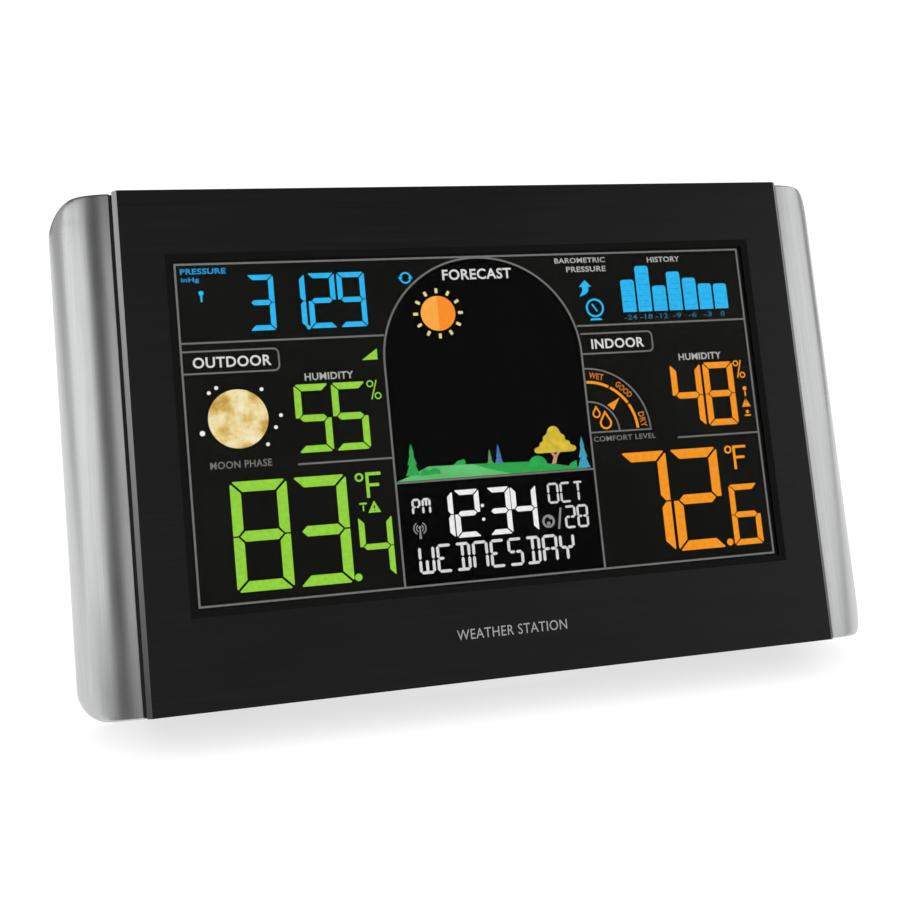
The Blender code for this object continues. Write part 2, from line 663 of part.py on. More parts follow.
def build_keys(frame):
    half_x, half_z = KEY_SIZE[0] / 2, KEY_SIZE[1] / 2
    for index in range(KEY_COUNT):
        z = KEY_FIRST_Z + index * KEY_PITCH
        outline = rounded_outline((KEY_X - half_x, z - half_z), (KEY_X + half_x, z + half_z), 1.0, 3)
        key = prism(f"rear_key_{index + 1}", frame, outline, -2.6, KEY_PROUD, "Y", "key_grey")
        flange_x, flange_z = half_x + 1.0, half_z + 1.0
        flange = block(f"key_flange_{index}", frame, (KEY_X - flange_x, -3.4, z - flange_z),
                       (KEY_X + flange_x, -2.4, z + flange_z))
        combine(key, flange, "UNION")
        stem = rod(f"key_stem_{index}", frame, (KEY_X, -6.0, z), (KEY_X, -3.2, z), 1.5, sides=12)
        combine(key, stem, "UNION")
        switch = block(f"tact_switch_{index + 1}", frame, (KEY_X - 3.0, KEY_BOARD_Y[1] + GAP, z - 3.0),
                       (KEY_X + 3.0, -7.8, z + 3.0), "part_black")
        post = rod(f"switch_post_{index}", frame, (KEY_X, -8.5, z), (KEY_X, -7.0, z), 1.7, sides=12)
        combine(switch, post, "UNION")
    last_z = KEY_FIRST_Z + (KEY_COUNT - 1) * KEY_PITCH
    block("key_board", frame, (KEY_X - 8.0, KEY_BOARD_Y[0], KEY_FIRST_Z - 8.0),
          (KEY_X + 8.0, KEY_BOARD_Y[1], last_z + 8.0), "board_green")


def build_snooze(frame):
    half_x, half_y = SNOOZE_SIZE[0] / 2, SNOOZE_SIZE[1] / 2
    outline = rounded_outline((-half_x, SNOOZE_Y - half_y), (half_x, SNOOZE_Y + half_y), 3.4, 5)
    wall_top, wall_bottom = HEIGHT - GAP, HEIGHT - GAP - WALL
    button = prism("snooze_button", frame, outline, wall_bottom - 0.8, wall_top + SNOOZE_PROUD, "Z",
                   "key_grey")
    lip = 1.2
    flange = block("snooze_flange", frame,
                   (-half_x - lip, SNOOZE_Y - half_y - lip, wall_bottom - 1.6),
                   (half_x + lip, SNOOZE_Y + half_y + lip, wall_bottom - 0.6))
    combine(button, flange, "UNION")
    stem = rod("snooze_stem", frame, (0.0, SNOOZE_Y, wall_bottom - 3.6),
               (0.0, SNOOZE_Y, wall_bottom - 1.2), 1.5, sides=12)
    combine(button, stem, "UNION")
    switch_top = wall_bottom - 5.4
    switch = block("snooze_switch", frame, (-3.0, SNOOZE_Y - 1.0, switch_top - 3.5),
                   (3.0, SNOOZE_Y + 3.0, switch_top), "part_black")
    post = rod("snooze_post", frame, (0.0, SNOOZE_Y, switch_top - 0.5),
               (0.0, SNOOZE_Y, switch_top + 0.8), 0.9, sides=12)
    combine(switch, post, "UNION")


# ---------------------------------------------------------------- electronics

def build_boards(frame):
    front, back = BOARD_Y - BOARD_THICKNESS / 2, BOARD_Y + BOARD_THICKNESS / 2
    face = back + GAP
    block("main_board", frame, (-32.0, front, 54.0), (48.0, back, 118.0), "board_green")
    block("processor", frame, (18.0, face, 84.0), (32.0, face + 1.2, 98.0), "part_black")
    can = block("pressure_sensor", frame, (38.0, face, 108.0), (43.0, face + 1.6, 113.0), "steel")
    port = rod("sensor_port", frame, (40.5, face + 0.8, 110.5), (40.5, face + 3.0, 110.5), 0.5, sides=10)
    combine(can, port)
    buzzer = rod("buzzer", frame, (BUZZER_X, face, BUZZER_Z), (BUZZER_X, face + 5.4, BUZZER_Z), 6.0,
                 "part_black")
    opening = rod("buzzer_port", frame, (BUZZER_X, face + 3.5, BUZZER_Z),
                  (BUZZER_X, face + 7.0, BUZZER_Z), 1.2, sides=12)
    combine(buzzer, opening)
    radio = block("radio_receiver", frame, (-2.0, face, 76.0), (14.0, face + 1.0, 96.0), "board_green")
    combine(radio, block("radio_can", frame, (0.0, face + 0.5, 78.0), (12.0, face + 3.2, 90.0)), "UNION")
    route = [(6.0, 98.0), (6.0, 103.6), (5.0, 104.6), (-52.0, 104.6), (-54.0, 103.6), (-55.0, 101.6),
             (-55.0, 62.0)]
    wire("antenna_wire", frame, [(x, ANTENNA_Y, z) for x, z in route], 0.5, "copper")
    sensor = block("humidity_sensor", frame, (-79.0, -9.5, 86.0), (-67.0, -4.5, 106.0), "sensor_white")
    for index in range(5):
        z = 88.5 + index * 3.4
        combine(sensor, block(f"sensor_slot_{index}", frame, (-77.0, -5.6, z), (-69.0, -4.0, z + 1.6)))


def build_station():
    nearest_front = -DEPTH * cos(LEAN)
    farthest_back = CAP_REAR_Y * cos(LEAN) + HEIGHT * sin(LEAN)
    middle = (nearest_front + farthest_back) / 2
    case = new_empty("case_frame", location=(0.0, -middle, FOOT_HEIGHT), turn_x=-LEAN)
    hinge = new_empty("hinge_frame", case, (0.0, HINGE_Y, HINGE_Z), STAND_ANGLE)
    build_bezel(case)
    build_display_stack(case)
    build_housing(case)
    build_cap(case, "left_cap", -1)
    build_cap(case, "right_cap", 1)
    for index, (x, z) in enumerate(SCREW_PLACES):
        build_screw(case, index, x, z)
    build_foot(case, "left_foot", -1)
    build_foot(case, "right_foot", 1)
    build_stand(case, hinge)
    build_battery_bay(case)
    build_jack(case)
    build_keys(case)
    build_snooze(case)
    build_boards(case)


clear_scene()
PARTS = new_collection("weather_station")
SHAPES = new_collection("cutting_shapes")
MATERIALS = {name: make_material(name) for name in COLOURS}
build_station()
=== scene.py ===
"""Looks of the home weather station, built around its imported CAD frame.

Shapes are given in millimetres on the panel: X to the right, Z up the face and Y into the case,
all from a point just below the middle of the front panel. FACE carries them into the CAD's frame,
in metres, so every piece leans back with the case.
"""

import json
from math import asin, cos, hypot, pi, radians, sin, sqrt

import bmesh
import bpy
from mathutils import Matrix, Quaternion, Vector

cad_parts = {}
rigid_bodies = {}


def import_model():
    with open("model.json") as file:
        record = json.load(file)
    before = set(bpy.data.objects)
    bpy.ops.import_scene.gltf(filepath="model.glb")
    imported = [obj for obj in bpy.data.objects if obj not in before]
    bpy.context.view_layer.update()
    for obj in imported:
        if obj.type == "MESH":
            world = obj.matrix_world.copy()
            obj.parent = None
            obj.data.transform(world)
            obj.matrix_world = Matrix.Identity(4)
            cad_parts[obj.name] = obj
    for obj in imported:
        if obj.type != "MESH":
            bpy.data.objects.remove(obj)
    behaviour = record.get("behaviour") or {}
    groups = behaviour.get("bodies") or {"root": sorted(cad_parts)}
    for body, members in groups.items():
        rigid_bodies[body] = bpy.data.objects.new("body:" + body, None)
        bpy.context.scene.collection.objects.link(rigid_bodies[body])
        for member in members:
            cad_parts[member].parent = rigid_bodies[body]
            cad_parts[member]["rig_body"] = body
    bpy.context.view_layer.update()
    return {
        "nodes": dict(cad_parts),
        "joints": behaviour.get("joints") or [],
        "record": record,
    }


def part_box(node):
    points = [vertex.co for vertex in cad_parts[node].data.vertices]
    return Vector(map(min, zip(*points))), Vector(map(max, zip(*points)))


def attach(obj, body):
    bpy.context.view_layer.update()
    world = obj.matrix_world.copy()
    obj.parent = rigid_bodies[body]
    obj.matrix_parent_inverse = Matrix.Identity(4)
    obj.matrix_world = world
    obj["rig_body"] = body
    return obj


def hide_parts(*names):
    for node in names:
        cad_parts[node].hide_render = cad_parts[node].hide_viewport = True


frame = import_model()

# ------------ places
MM = 0.001
FACE_HEIGHT = 130.0
CASE_DEPTH = 27.5
ORIGIN_HEIGHT = 64.8    # above the panel's lower edge
JOINTS = {joint["name"]: joint for joint in frame["joints"]}
UP_THE_FACE = -Vector(JOINTS["snooze_press"]["axis"])
INTO_THE_CASE = Vector((0.0, UP_THE_FACE.z, -UP_THE_FACE.y))
LEAN_TURN = Vector((0.0, 0.0, 1.0)).angle(UP_THE_FACE)
BEZEL_LOW, BEZEL_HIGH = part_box("front_bezel")
FACE_CENTRE = Vector((
    (BEZEL_LOW.x + BEZEL_HIGH.x) / 2,
    BEZEL_LOW.y + UP_THE_FACE.y * ORIGIN_HEIGHT * MM,
    BEZEL_HIGH.z - UP_THE_FACE.z * (FACE_HEIGHT - ORIGIN_HEIGHT) * MM,
))
FACE_TURN = Matrix((Vector((1.0, 0.0, 0.0)), INTO_THE_CASE, UP_THE_FACE)).transposed().to_4x4()
FACE = Matrix.Translation(FACE_CENTRE) @ FACE_TURN @ Matrix.Scale(MM, 4)

DISPLAY_DEPTH = 2.3    # the liquid crystal panel's front, behind the face
LAYER = 0.05    # thickness of one printed or lit layer
FRONT_PRINT_DEPTH = -0.03
REAR_PRINT_DEPTH = CASE_DEPTH - LAYER / 2
FIELD, CENTRE_FIELD, SIGNS, MARKS = range(4)    # layers on the display, the last one in front
WELD = 0.0005    # points nearer than this are one point


# ------------ materials
class Finish:
    """A material with one Principled shader, and short ways to add the nodes that drive it."""

    def __init__(self, name, **settings):
        self.material = bpy.data.materials.new(name)
        self.material.use_nodes = True
        self.tree = self.material.node_tree
        self.shader = self.tree.nodes["Principled BSDF"]
        for socket, value in settings.items():
            self.shader.inputs[socket.replace("_", " ")].default_value = value

    def node(self, kind, **inputs):
        node = self.tree.nodes.new(kind)
        for socket, value in inputs.items():
            self.feed(value, node.inputs[socket.replace("_", " ")])
        return node

    def feed(self, value, socket):
        if isinstance(value, bpy.types.NodeSocket):
            self.tree.links.new(value, socket)
        else:
            socket.default_value = value

    def drive(self, socket, value):
        self.feed(value, self.shader.inputs[socket])

    def place(self, stretch=(1.0, 1.0, 1.0)):
        """The piece's own coordinates in metres, turned to the panel and stretched."""
        where = self.node("ShaderNodeTexCoord").outputs["Object"]
        lean = (LEAN_TURN, 0.0, 0.0)
        upright = self.node("ShaderNodeMapping", Vector=where, Rotation=lean).outputs["Vector"]
        return self.node("ShaderNodeMapping", Vector=upright, Scale=stretch).outputs["Vector"]

    def noise(self, scale, detail=3.0, roughness=0.5, stretch=(1.0, 1.0, 1.0)):
        node = self.node("ShaderNodeTexNoise", Vector=self.place(stretch), Scale=scale, Detail=detail)
        node.inputs["Roughness"].default_value = roughness
        return node.outputs["Fac"]

    def ramp(self, value, *stops):
        """A colour for each value, from (place, colour) stops."""
        node = self.node("ShaderNodeValToRGB", Fac=value)
        elements = node.color_ramp.elements
        while len(elements) < len(stops):
            elements.new(0.5)
        for element, (at, colour) in zip(elements, stops):
            element.position = at
            element.color = (*colour, 1.0)
        return node.outputs["Color"]

    def spread(self, value, low, high, start=0.3, end=0.7):
        """Numbers from low to high, as the value goes from start to end."""
        node = self.node("ShaderNodeMapRange", Value=value)
        limits = {"From Min": start, "From Max": end, "To Min": low, "To Max": high}
        for socket, number in limits.items():
            node.inputs[socket].default_value = number
        return node.outputs["Result"]

    def multiply(self, first, second):
        node = self.node("ShaderNodeMath")
        node.operation = "MULTIPLY"
        self.feed(first, node.inputs[0])
        self.feed(second, node.inputs[1])
        return node.outputs["Value"]

    def colour(self, value, *stops):
        self.drive("Base Color", self.ramp(value, *stops))

    def roughness(self, value, low, high):
        self.drive("Roughness", self.spread(value, low, high))

    def bump(self, height, distance, strength=1.0):
        node = self.node("ShaderNodeBump", Height=height, Strength=strength, Distance=distance)
        self.drive("Normal", node.outputs["Normal"])


def shaded(colour, amount):
    return tuple(channel * amount for channel in colour)


def neutral(level):
    return level, level, level


def moulded_plastic(name, colour, roughness, grain=0.00035, depth=0.00002, variation=0.25):
    """Moulded plastic with a spark-eroded texture, uneven gloss and faint cloudy wear."""
    finish = Finish(name)
    clouds = finish.noise(28.0, detail=4.0)
    rubbed = finish.noise(75.0, detail=5.0)
    tones = (0.3, shaded(colour, 1.0 - variation)), (0.7, shaded(colour, 1.0 + variation))
    finish.colour(clouds, *tones)
    finish.roughness(rubbed, roughness - 0.06, roughness + 0.08)
    finish.bump(finish.noise(1.0 / grain, detail=2.0), depth)
    return finish.material


def worn_metal(name, colour, roughness):
    """Metal with a fine even grain, patches of tarnish and uneven polish."""
    finish = Finish(name, Metallic=1.0)
    tarnish = finish.noise(120.0, detail=4.0)
    grain = finish.noise(900.0)
    finish.colour(tarnish, (0.3, shaded(colour, 0.82)), (0.7, colour))
    finish.roughness(grain, roughness - 0.07, roughness + 0.09)
    finish.bump(grain, 0.000004)
    return finish.material


def panel_black():
    """Satin black panel, finely brushed along its width."""
    finish = Finish("panel_black", Specular_IOR_Level=0.25)
    lines = finish.noise(60.0, detail=6.0, roughness=0.65, stretch=(0.35, 30.0, 30.0))
    tones = (0.3, (0.0020, 0.0020, 0.0022)), (0.75, (0.0062, 0.0062, 0.0065))
    finish.colour(lines, *tones)
    finish.roughness(finish.noise(22.0), 0.40, 0.50)
    finish.bump(lines, 0.000012, strength=0.6)
    return finish.material


def cut_edge():
    """The panel's bevelled metal side edges, with painted shade low down and a painted highlight near
    the top.
    """
    finish = Finish("cut_edge", Metallic=1.0)
    lines = finish.noise(80.0, detail=4.0, stretch=(30.0, 30.0, 0.4))
    height = finish.node("ShaderNodeSeparateXYZ", Vector=finish.place()).outputs["Z"]
    # painted highlight and shade: the edge's colour is brighter up the face and darker near its foot
    painted_top_highlight = finish.spread(height, 0.22, 1.0, start=0.0, end=FACE_HEIGHT * MM)
    level = finish.multiply(painted_top_highlight, finish.spread(lines, 0.26, 0.38))
    finish.colour(level, (0.0, neutral(0.0)), (1.0, neutral(1.0)))
    finish.roughness(lines, 0.28, 0.4)
    return finish.material


def window_lip():
    """The matt black slope round the window."""
    finish = Finish("window_lip", Specular_IOR_Level=0.03)
    grain = finish.noise(2500.0, detail=2.0)
    finish.colour(grain, (0.3, neutral(0.0052)), (0.7, neutral(0.0072)))
    finish.roughness(grain, 0.6, 0.75)
    return finish.material


def silver_paint():
    """Satin silver with a fine grain up the cap, metallic flakes and slight clouding."""
    finish = Finish("silver_paint", Metallic=1.0)
    lines = finish.noise(70.0, detail=6.0, roughness=0.6, stretch=(26.0, 26.0, 0.5))
    clouds = finish.noise(45.0, detail=4.0)
    flakes = finish.noise(3800.0, detail=2.0)
    tones = (0.25, (0.450, 0.453, 0.457)), (0.75, (0.550, 0.553, 0.557))
    finish.colour(lines, *tones)
    finish.roughness(clouds, 0.26, 0.32)
    finish.bump(finish.multiply(lines, flakes), 0.00001, strength=0.5)
    return finish.material


def window_glass():
    """The clear window over the display. Its low IOR stands for a coat that cuts glare."""
    finish = Finish("window_glass", Transmission_Weight=1.0, IOR=1.05)
    smears = finish.noise(40.0, detail=5.0)
    tones = (0.3, (0.93, 0.935, 0.94)), (0.7, (0.97, 0.975, 0.98))
    finish.colour(smears, *tones)
    finish.roughness(smears, 0.0, 0.03)
    return finish.material


def display_black():
    """The liquid crystal panel's own black."""
    finish = Finish("display_black", Specular_IOR_Level=0.02)
    cells = finish.noise(900.0, detail=2.0)
    finish.colour(cells, (0.3, neutral(0.0036)), (0.7, neutral(0.005)))
    finish.roughness(cells, 0.45, 0.6)
    return finish.material


def lamp_film(name):
    """A dark film over a lamp. Whoever calls this drives the colour that it gives off."""
    finish = Finish(name, Specular_IOR_Level=0.02, Roughness=0.6, Emission_Strength=1.0)
    finish.drive("Base Color", (*neutral(0.002), 1.0))
    return finish


def lit(name, colour, spread, scale=900.0):
    """A lit segment: its light varies a little from cell to cell, as a colour film over a lamp does."""
    finish = lamp_film(name)
    tones = (0.3, shaded(colour, 1.0 - spread)), (0.7, shaded(colour, 1.0 + spread * 0.5))
    finish.drive("Emission Color", finish.ramp(finish.noise(scale), *tones))
    return finish.material


def moon_light():
    """The moon sign: pale cream with tan plains."""
    finish = lamp_film("moon_light")
    tones = (
        (0.36, (0.56, 0.34, 0.07)),
        (0.47, (0.76, 0.55, 0.18)),
        (0.55, (0.88, 0.72, 0.36)),
        (0.66, (0.95, 0.87, 0.60)),
    )
    plains = finish.noise(190.0, detail=5.0, roughness=0.58)
    finish.drive("Emission Color", finish.ramp(plains, *tones))
    return finish.material


def circuit_board():
    """Green solder resist over copper tracks."""
    finish = Finish("circuit_board")
    tracks = finish.node("ShaderNodeTexBrick", Vector=finish.place(), Scale=160.0).outputs["Fac"]
    tones = (0.2, (0.02, 0.15, 0.05)), (0.8, (0.04, 0.26, 0.09))
    finish.colour(tracks, *tones)
    finish.roughness(finish.noise(300.0), 0.25, 0.4)
    finish.bump(tracks, 0.00003)
    return finish.material


def ribbon_film():
    """Amber polyimide film over fine parallel conductors."""
    finish = Finish("ribbon_film")
    wave = finish.node("ShaderNodeTexWave", Vector=finish.place(), Scale=420.0).outputs["Fac"]
    tones = (0.3, (0.32, 0.12, 0.02)), (0.7, (0.50, 0.22, 0.05))
    finish.colour(wave, *tones)
    finish.roughness(wave, 0.3, 0.45)
    return finish.material


def clear_acrylic():
    """The milky acrylic that spreads the backlight."""
    finish = Finish("clear_acrylic", Transmission_Weight=0.85, IOR=1.49)
    haze = finish.noise(60.0, detail=4.0)
    tones = (0.3, (0.86, 0.9, 0.88)), (0.7, (0.95, 0.96, 0.95))
    finish.colour(haze, *tones)
    finish.roughness(haze, 0.02, 0.08)
    return finish.material


def slot_materials():
    """One finish for each material slot of the record."""
    return {
        "bezel": panel_black(),
        "lens": window_glass(),
        "display": display_black(),
        "silver": silver_paint(),
        "housing": moulded_plastic("housing_plastic", (0.014, 0.014, 0.0145), 0.52, depth=0.00004),
        "rubber": moulded_plastic("rubber", (0.017, 0.017, 0.017), 0.78, grain=0.0002),
        "keys": moulded_plastic("key_plastic", (0.115, 0.116, 0.12), 0.45, variation=0.12),
        "steel": worn_metal("zinc_steel", (0.60, 0.60, 0.60), 0.30),
        "contacts": worn_metal("nickel_steel", (0.70, 0.68, 0.64), 0.22),
        "cells": moulded_plastic("cell_sleeve", (0.02, 0.10, 0.19), 0.28, variation=0.15),
        "circuit_board": circuit_board(),
        "copper": worn_metal("copper", (0.80, 0.38, 0.20), 0.28),
        "acrylic": clear_acrylic(),
        "white_plastic": moulded_plastic("white_plastic", (0.74, 0.74, 0.72), 0.45, variation=0.06),
        "flex": ribbon_film(),
        "black_plastic": moulded_plastic("black_plastic", (0.010, 0.010, 0.010), 0.40),
    }


FINISHES = slot_materials()
# The display's lit colours, and how far each one varies
LIT_COLOURS = {
    "green": ((0.305, 0.672, 0.053), 0.13),
    "blue": ((0.027, 0.497, 0.914), 0.13),
    "orange": ((0.956, 0.323, 0.017), 0.10),
    "white": ((0.90, 0.90, 0.89), 0.10),
    "pale": ((0.72, 0.72, 0.71), 0.12),
    "grey": ((0.19, 0.187, 0.178), 0.14),
    "dim": ((0.21, 0.205, 0.195), 0.16),
}
LIT = {name: lit("lit_" + name, colour, spread) for name, (colour, spread) in LIT_COLOURS.items()}


# ------------ flat shapes
def arc(centre, radius, start, end, steps):
    """Points on an arc, in degrees from +X towards +Z. The radius may differ along the two axes."""
    wide, high = radius if isinstance(radius, tuple) else (radius, radius)
    turns = [radians(start + (end - start) * step / steps) for step in range(steps + 1)]
    return [(centre[0] + wide * cos(turn), centre[1] + high * sin(turn)) for turn in turns]


def disc(centre, radius, sides=24):
    return [arc(centre, radius, 0, 360, sides)[:-1]]


LEAST_MITRE = 0.4    # keeps the mitre of a sharp corner from reaching far out


def stroke(points, width, closed=False):
    """Quads of even width along a line of points, mitred at its corners."""
    line = [Vector(point) for point in points]
    last = len(line) - 1
    edges = []
    for index, point in enumerate(line):
        before = line[index - 1] if index or closed else None
        after = line[(index + 1) % len(line)] if index < last or closed else None
        ways = [(point - before).normalized()] if before else []
        ways += [(after - point).normalized()] if after else []
        along = sum(ways, Vector((0.0, 0.0))).normalized()
        across = Vector((-along.y, along.x)) * width / 2 / max(along.dot(ways[0]), LEAST_MITRE)
        edges.append((point + across, point - across))
    following = edges[1:] + edges[:1] if closed else edges[1:]
    return [[a, b, d, c] for (a, b), (c, d) in zip(edges, following)]


def ring(centre, radius, width, start=0, end=360, steps=28):
    points = arc(centre, radius, start, end, steps)
    closed = end - start == 360
    return stroke(points[:-1] if closed else points, width, closed)


def pointed_bar(start, end, width, gap):
    """A liquid crystal segment: a bar with both ends cut to a point, held clear of its neighbours."""
    start, end = Vector(start), Vector(end)
    along = (end - start).normalized()
    across = Vector((-along.y, along.x)) * width / 2
    start, end = start + along * gap, end - along * gap
    taper = along * width / 2
    outline = [start, start + taper - across, end - taper - across, end]
    return outline + [end - taper + across, start + taper + across]


def rounded_box(low, high, radius):
    left, bottom, right, top = low[0] + radius, low[1] + radius, high[0] - radius, high[1] - radius
    outline = []
    for index, centre in enumerate([(right, top), (left, top), (left, bottom), (right, bottom)]):
        outline += arc(centre, radius, 90 * index, 90 * index + 90, 4)
    return outline


# The segments that each digit lights: a to f go clockwise round it from the top, and g is its middle
SEVEN = {
    "1": "bc", "2": "abged", "3": "abgcd", "4": "fgbc", "5": "afgcd", "6": "afgcde",
    "7": "abc", "8": "abcdefg", "9": "abcdfg",
}
# Segment width, gap and chamfer of each size of figure
LARGE, MEDIUM, CLOCK, FINE = (2.65, 0.4, 0.9), (1.75, 0.22, 0.7), (1.35, 0.24, 0.55), (1.35, 0.2, 0.5)


def mitred_digit(value, left, right, bottom, top, width, gap, chamfer):
    """A seven-segment digit whose segments meet in mitred gaps."""
    wide, high = right - left, (top - bottom) / 2
    near, far = (chamfer - gap) / 2, (chamfer + gap) / 2
    half = width / 2
    bar = [(chamfer, 0.0), (far, near), (width + gap, width)]
    bar += [(wide - width - gap, width), (wide - far, near), (wide - chamfer, 0.0)]
    post = [(0.0, chamfer), (near, far), (width, width + gap), (width, high - half - gap)]
    post += [(half, high - gap / 2), (0.0, high - gap / 2)]
    middle = [(half + gap, high), (width + gap, high - half), (wide - width - gap, high - half)]
    middle += [(wide - half - gap, high), (wide - width - gap, high + half), (width + gap, high + half)]
    segments = {
        "a": bar,
        "d": [(x, 2 * high - z) for x, z in bar],
        "f": post,
        "b": [(wide - x, z) for x, z in post],
        "e": [(x, 2 * high - z) for x, z in post],
        "c": [(wide - x, 2 * high - z) for x, z in post],
        "g": middle,
    }
    return [[(left + x, top - z) for x, z in segments[name]] for name in SEVEN[value]]


def figures(places, bottom, top, size):
    """A row of seven-segment digits, from (digit, left, right)."""
    outlines = []
    for digit, left, right in places:
        outlines += mitred_digit(digit, left, right, bottom, top, *size)
    return outlines


# Starburst lettering: bars between nine points, top, middle and bottom by left, centre and right
STAR_NODES = {
    "tl": (0, 1), "tc": (0.5, 1), "tr": (1, 1), "ml": (0, 0.5), "mc": (0.5, 0.5), "mr": (1, 0.5),
    "bl": (0, 0), "bc": (0.5, 0), "br": (1, 0),
}
STAR_LINES = {
    "a": ("tl", "tr"), "b": ("tr", "mr"), "c": ("mr", "br"), "d": ("bl", "br"), "e": ("bl", "ml"),
    "f": ("ml", "tl"), "g": ("ml", "mc"), "h": ("mc", "mr"), "i": ("mc", "tc"), "l": ("bc", "mc"),
}
STAR_LETTERS = {
    "W": "fedcbl", "E": "afedg", "D": "abcdil", "N": "feabc", "S": "afghcd", "A": "afebcgh",
    "Y": "fghbl", "O": "abcdef", "C": "afed", "T": "ail", "P": "abfegh", "M": "feabci",
    "2": "abhged", "8": "abcdefgh",
}


def star_text(text, left, bottom, size, pitch, width, gap):
    """Starburst lettering, one cell every pitch."""
    bars = []
    for index, letter in enumerate(text):
        corner = (left + index * pitch + width / 2, bottom + width / 2)
        reach = (size[0] - width, size[1] - width)
        for line in STAR_LETTERS[letter]:
            ends = [STAR_NODES[name] for name in STAR_LINES[line]]
            start, end = [(corner[0] + x * reach[0], corner[1] + z * reach[1]) for x, z in ends]
            bars.append(pointed_bar(start, end, width, gap))
    return bars


# ------------ pieces
def add_object(name, data):
    item = bpy.data.objects.new(name, data)
    bpy.context.scene.collection.objects.link(item)
    return item


def add_piece(name, mesh, material, body="station"):
    """A new object from a bmesh in face millimetres, riding on a body."""
    mesh.transform(FACE)
    data = bpy.data.meshes.new(name)
    mesh.to_mesh(data)
    mesh.free()
    piece = add_object(name, data)
    data.materials.append(material)
    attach(piece, body)
    return piece


def add_solid(name, mesh, material):
    """A closed piece on the station, with its faces turned outwards."""
    bmesh.ops.recalc_face_normals(mesh, faces=mesh.faces)
    return add_piece(name, mesh, material)


def flat_piece(name, outlines, material, front):
    """Thin solid shapes, one layer thick, from the depth called front."""
    mesh = bmesh.new()
    for outline in outlines:
        mesh.faces.new([mesh.verts.new((x, front, z)) for x, z in outline])
    bmesh.ops.remove_doubles(mesh, verts=mesh.verts, dist=WELD)
    grown = bmesh.ops.extrude_face_region(mesh, geom=mesh.faces[:], use_keep_orig=True)["geom"]
    backs = [item for item in grown if isinstance(item, bmesh.types.BMVert)]
    bmesh.ops.translate(mesh, verts=backs, vec=(0.0, LAYER, 0.0))
    add_solid(name, mesh, material)


def layer_front(layer):
    return DISPLAY_DEPTH - LAYER * (layer + 1)


def relief(name, outlines, material, layer=SIGNS):
    """Thin solid shapes on the display."""
    flat_piece(name, outlines, material, layer_front(layer))


def letter_mesh(text, weight):
    """The built-in font's outline of a text, one unit high, as a flat solid one unit thick."""
    curve = bpy.data.curves.new("lettering", "FONT")
    curve.body = text
    curve.offset = weight
    curve.extrude = 0.5
    curve.resolution_u = 3
    curve.space_character = 1.06
    holder = add_object("lettering", curve)
    bpy.context.view_layer.update()
    evaluated = holder.evaluated_get(bpy.context.evaluated_depsgraph_get())
    data = bpy.data.meshes.new_from_object(evaluated)
    bpy.data.objects.remove(holder)
    bpy.data.curves.remove(curve)
    return data


def add_label(mesh, text, low, high, front, weight, turn=0.0):
    """Adds a text to a bmesh, filling the box from low to high on the face, turned about its middle."""
    data = letter_mesh(text, weight)
    starts = [min(vertex.co[axis] for vertex in data.vertices) for axis in range(3)]
    spans = [max(vertex.co[axis] for vertex in data.vertices) - starts[axis] for axis in range(3)]
    middle = [(low[axis] + high[axis]) / 2 for axis in range(2)]
    for vertex in data.vertices:
        x, z, y = [(vertex.co[axis] - starts[axis]) / spans[axis] for axis in range(3)]
        across = (x - 0.5) * (high[0] - low[0])
        up = (z - 0.5) * (high[1] - low[1])
        vertex.co = (
            middle[0] + across * cos(turn) - up * sin(turn),
            front + (1.0 - y) * LAYER,
            middle[1] + across * sin(turn) + up * cos(turn),
        )
    mesh.from_mesh(data)
    bpy.data.meshes.remove(data)


def lettering(name, labels, material, weight):
    """Texts on the display as one piece, each as (text, low corner, high corner) or with a turn."""
    mesh = bmesh.new()
    for text, low, high, *turn in labels:
        add_label(mesh, text, low, high, layer_front(SIGNS), weight, radians(sum(turn)))
    add_solid(name, mesh, material)


CAD_WELD = 0.000002    # metres, as a CAD mesh is
FLAT_WITHIN = 0.4    # faces this many degrees apart or less are merged


def softened(node, width, slot, sharp=30.0):
    """A copy of a CAD node's shape with its sharp edges rounded, standing for that node."""
    source = frame["nodes"][node]
    mesh = bmesh.new()
    mesh.from_mesh(source.data)
    bmesh.ops.remove_doubles(mesh, verts=mesh.verts, dist=CAD_WELD)
    parts = {"verts": mesh.verts[:], "edges": mesh.edges[:]}
    bmesh.ops.dissolve_limit(mesh, angle_limit=radians(FLAT_WITHIN), **parts)
    mesh.transform(FACE.inverted())
    for face in mesh.faces:
        face.smooth = True
    piece = add_piece(node + "_shell", mesh, FINISHES[slot], source["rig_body"])
    piece.data.set_sharp_from_angle(angle=radians(sharp))
    rounding = piece.modifiers.new("rounded_edges", "BEVEL")
    rounding.width = width * MM
    rounding.segments = 2
    rounding.limit_method = "ANGLE"
    rounding.angle_limit = radians(sharp)
    rounding.harden_normals = True
    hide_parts(node)
    return piece


# ------------ camera and lights
CAMERA_FROM_FACE = Vector((-93.1, -302.1, 75.9)) * MM
CAMERA_LENS = 49.65    # focal length in millimetres
CAMERA_AIM = Vector((0.2532, 0.9341, -0.2520))


def add_camera():
    data = bpy.data.cameras.new("camera")
    data.lens = CAMERA_LENS
    data.clip_start = 0.01
    camera = add_object("camera", data)
    camera.location = FACE_CENTRE + CAMERA_FROM_FACE
    camera.rotation_euler = CAMERA_AIM.to_track_quat("-Z", "Y").to_euler()
    bpy.context.scene.camera = camera


AMBIENT_LEVEL = 0.085
BACKDROP_LEVEL = 1.05
FLOOR_REACH = 4.0


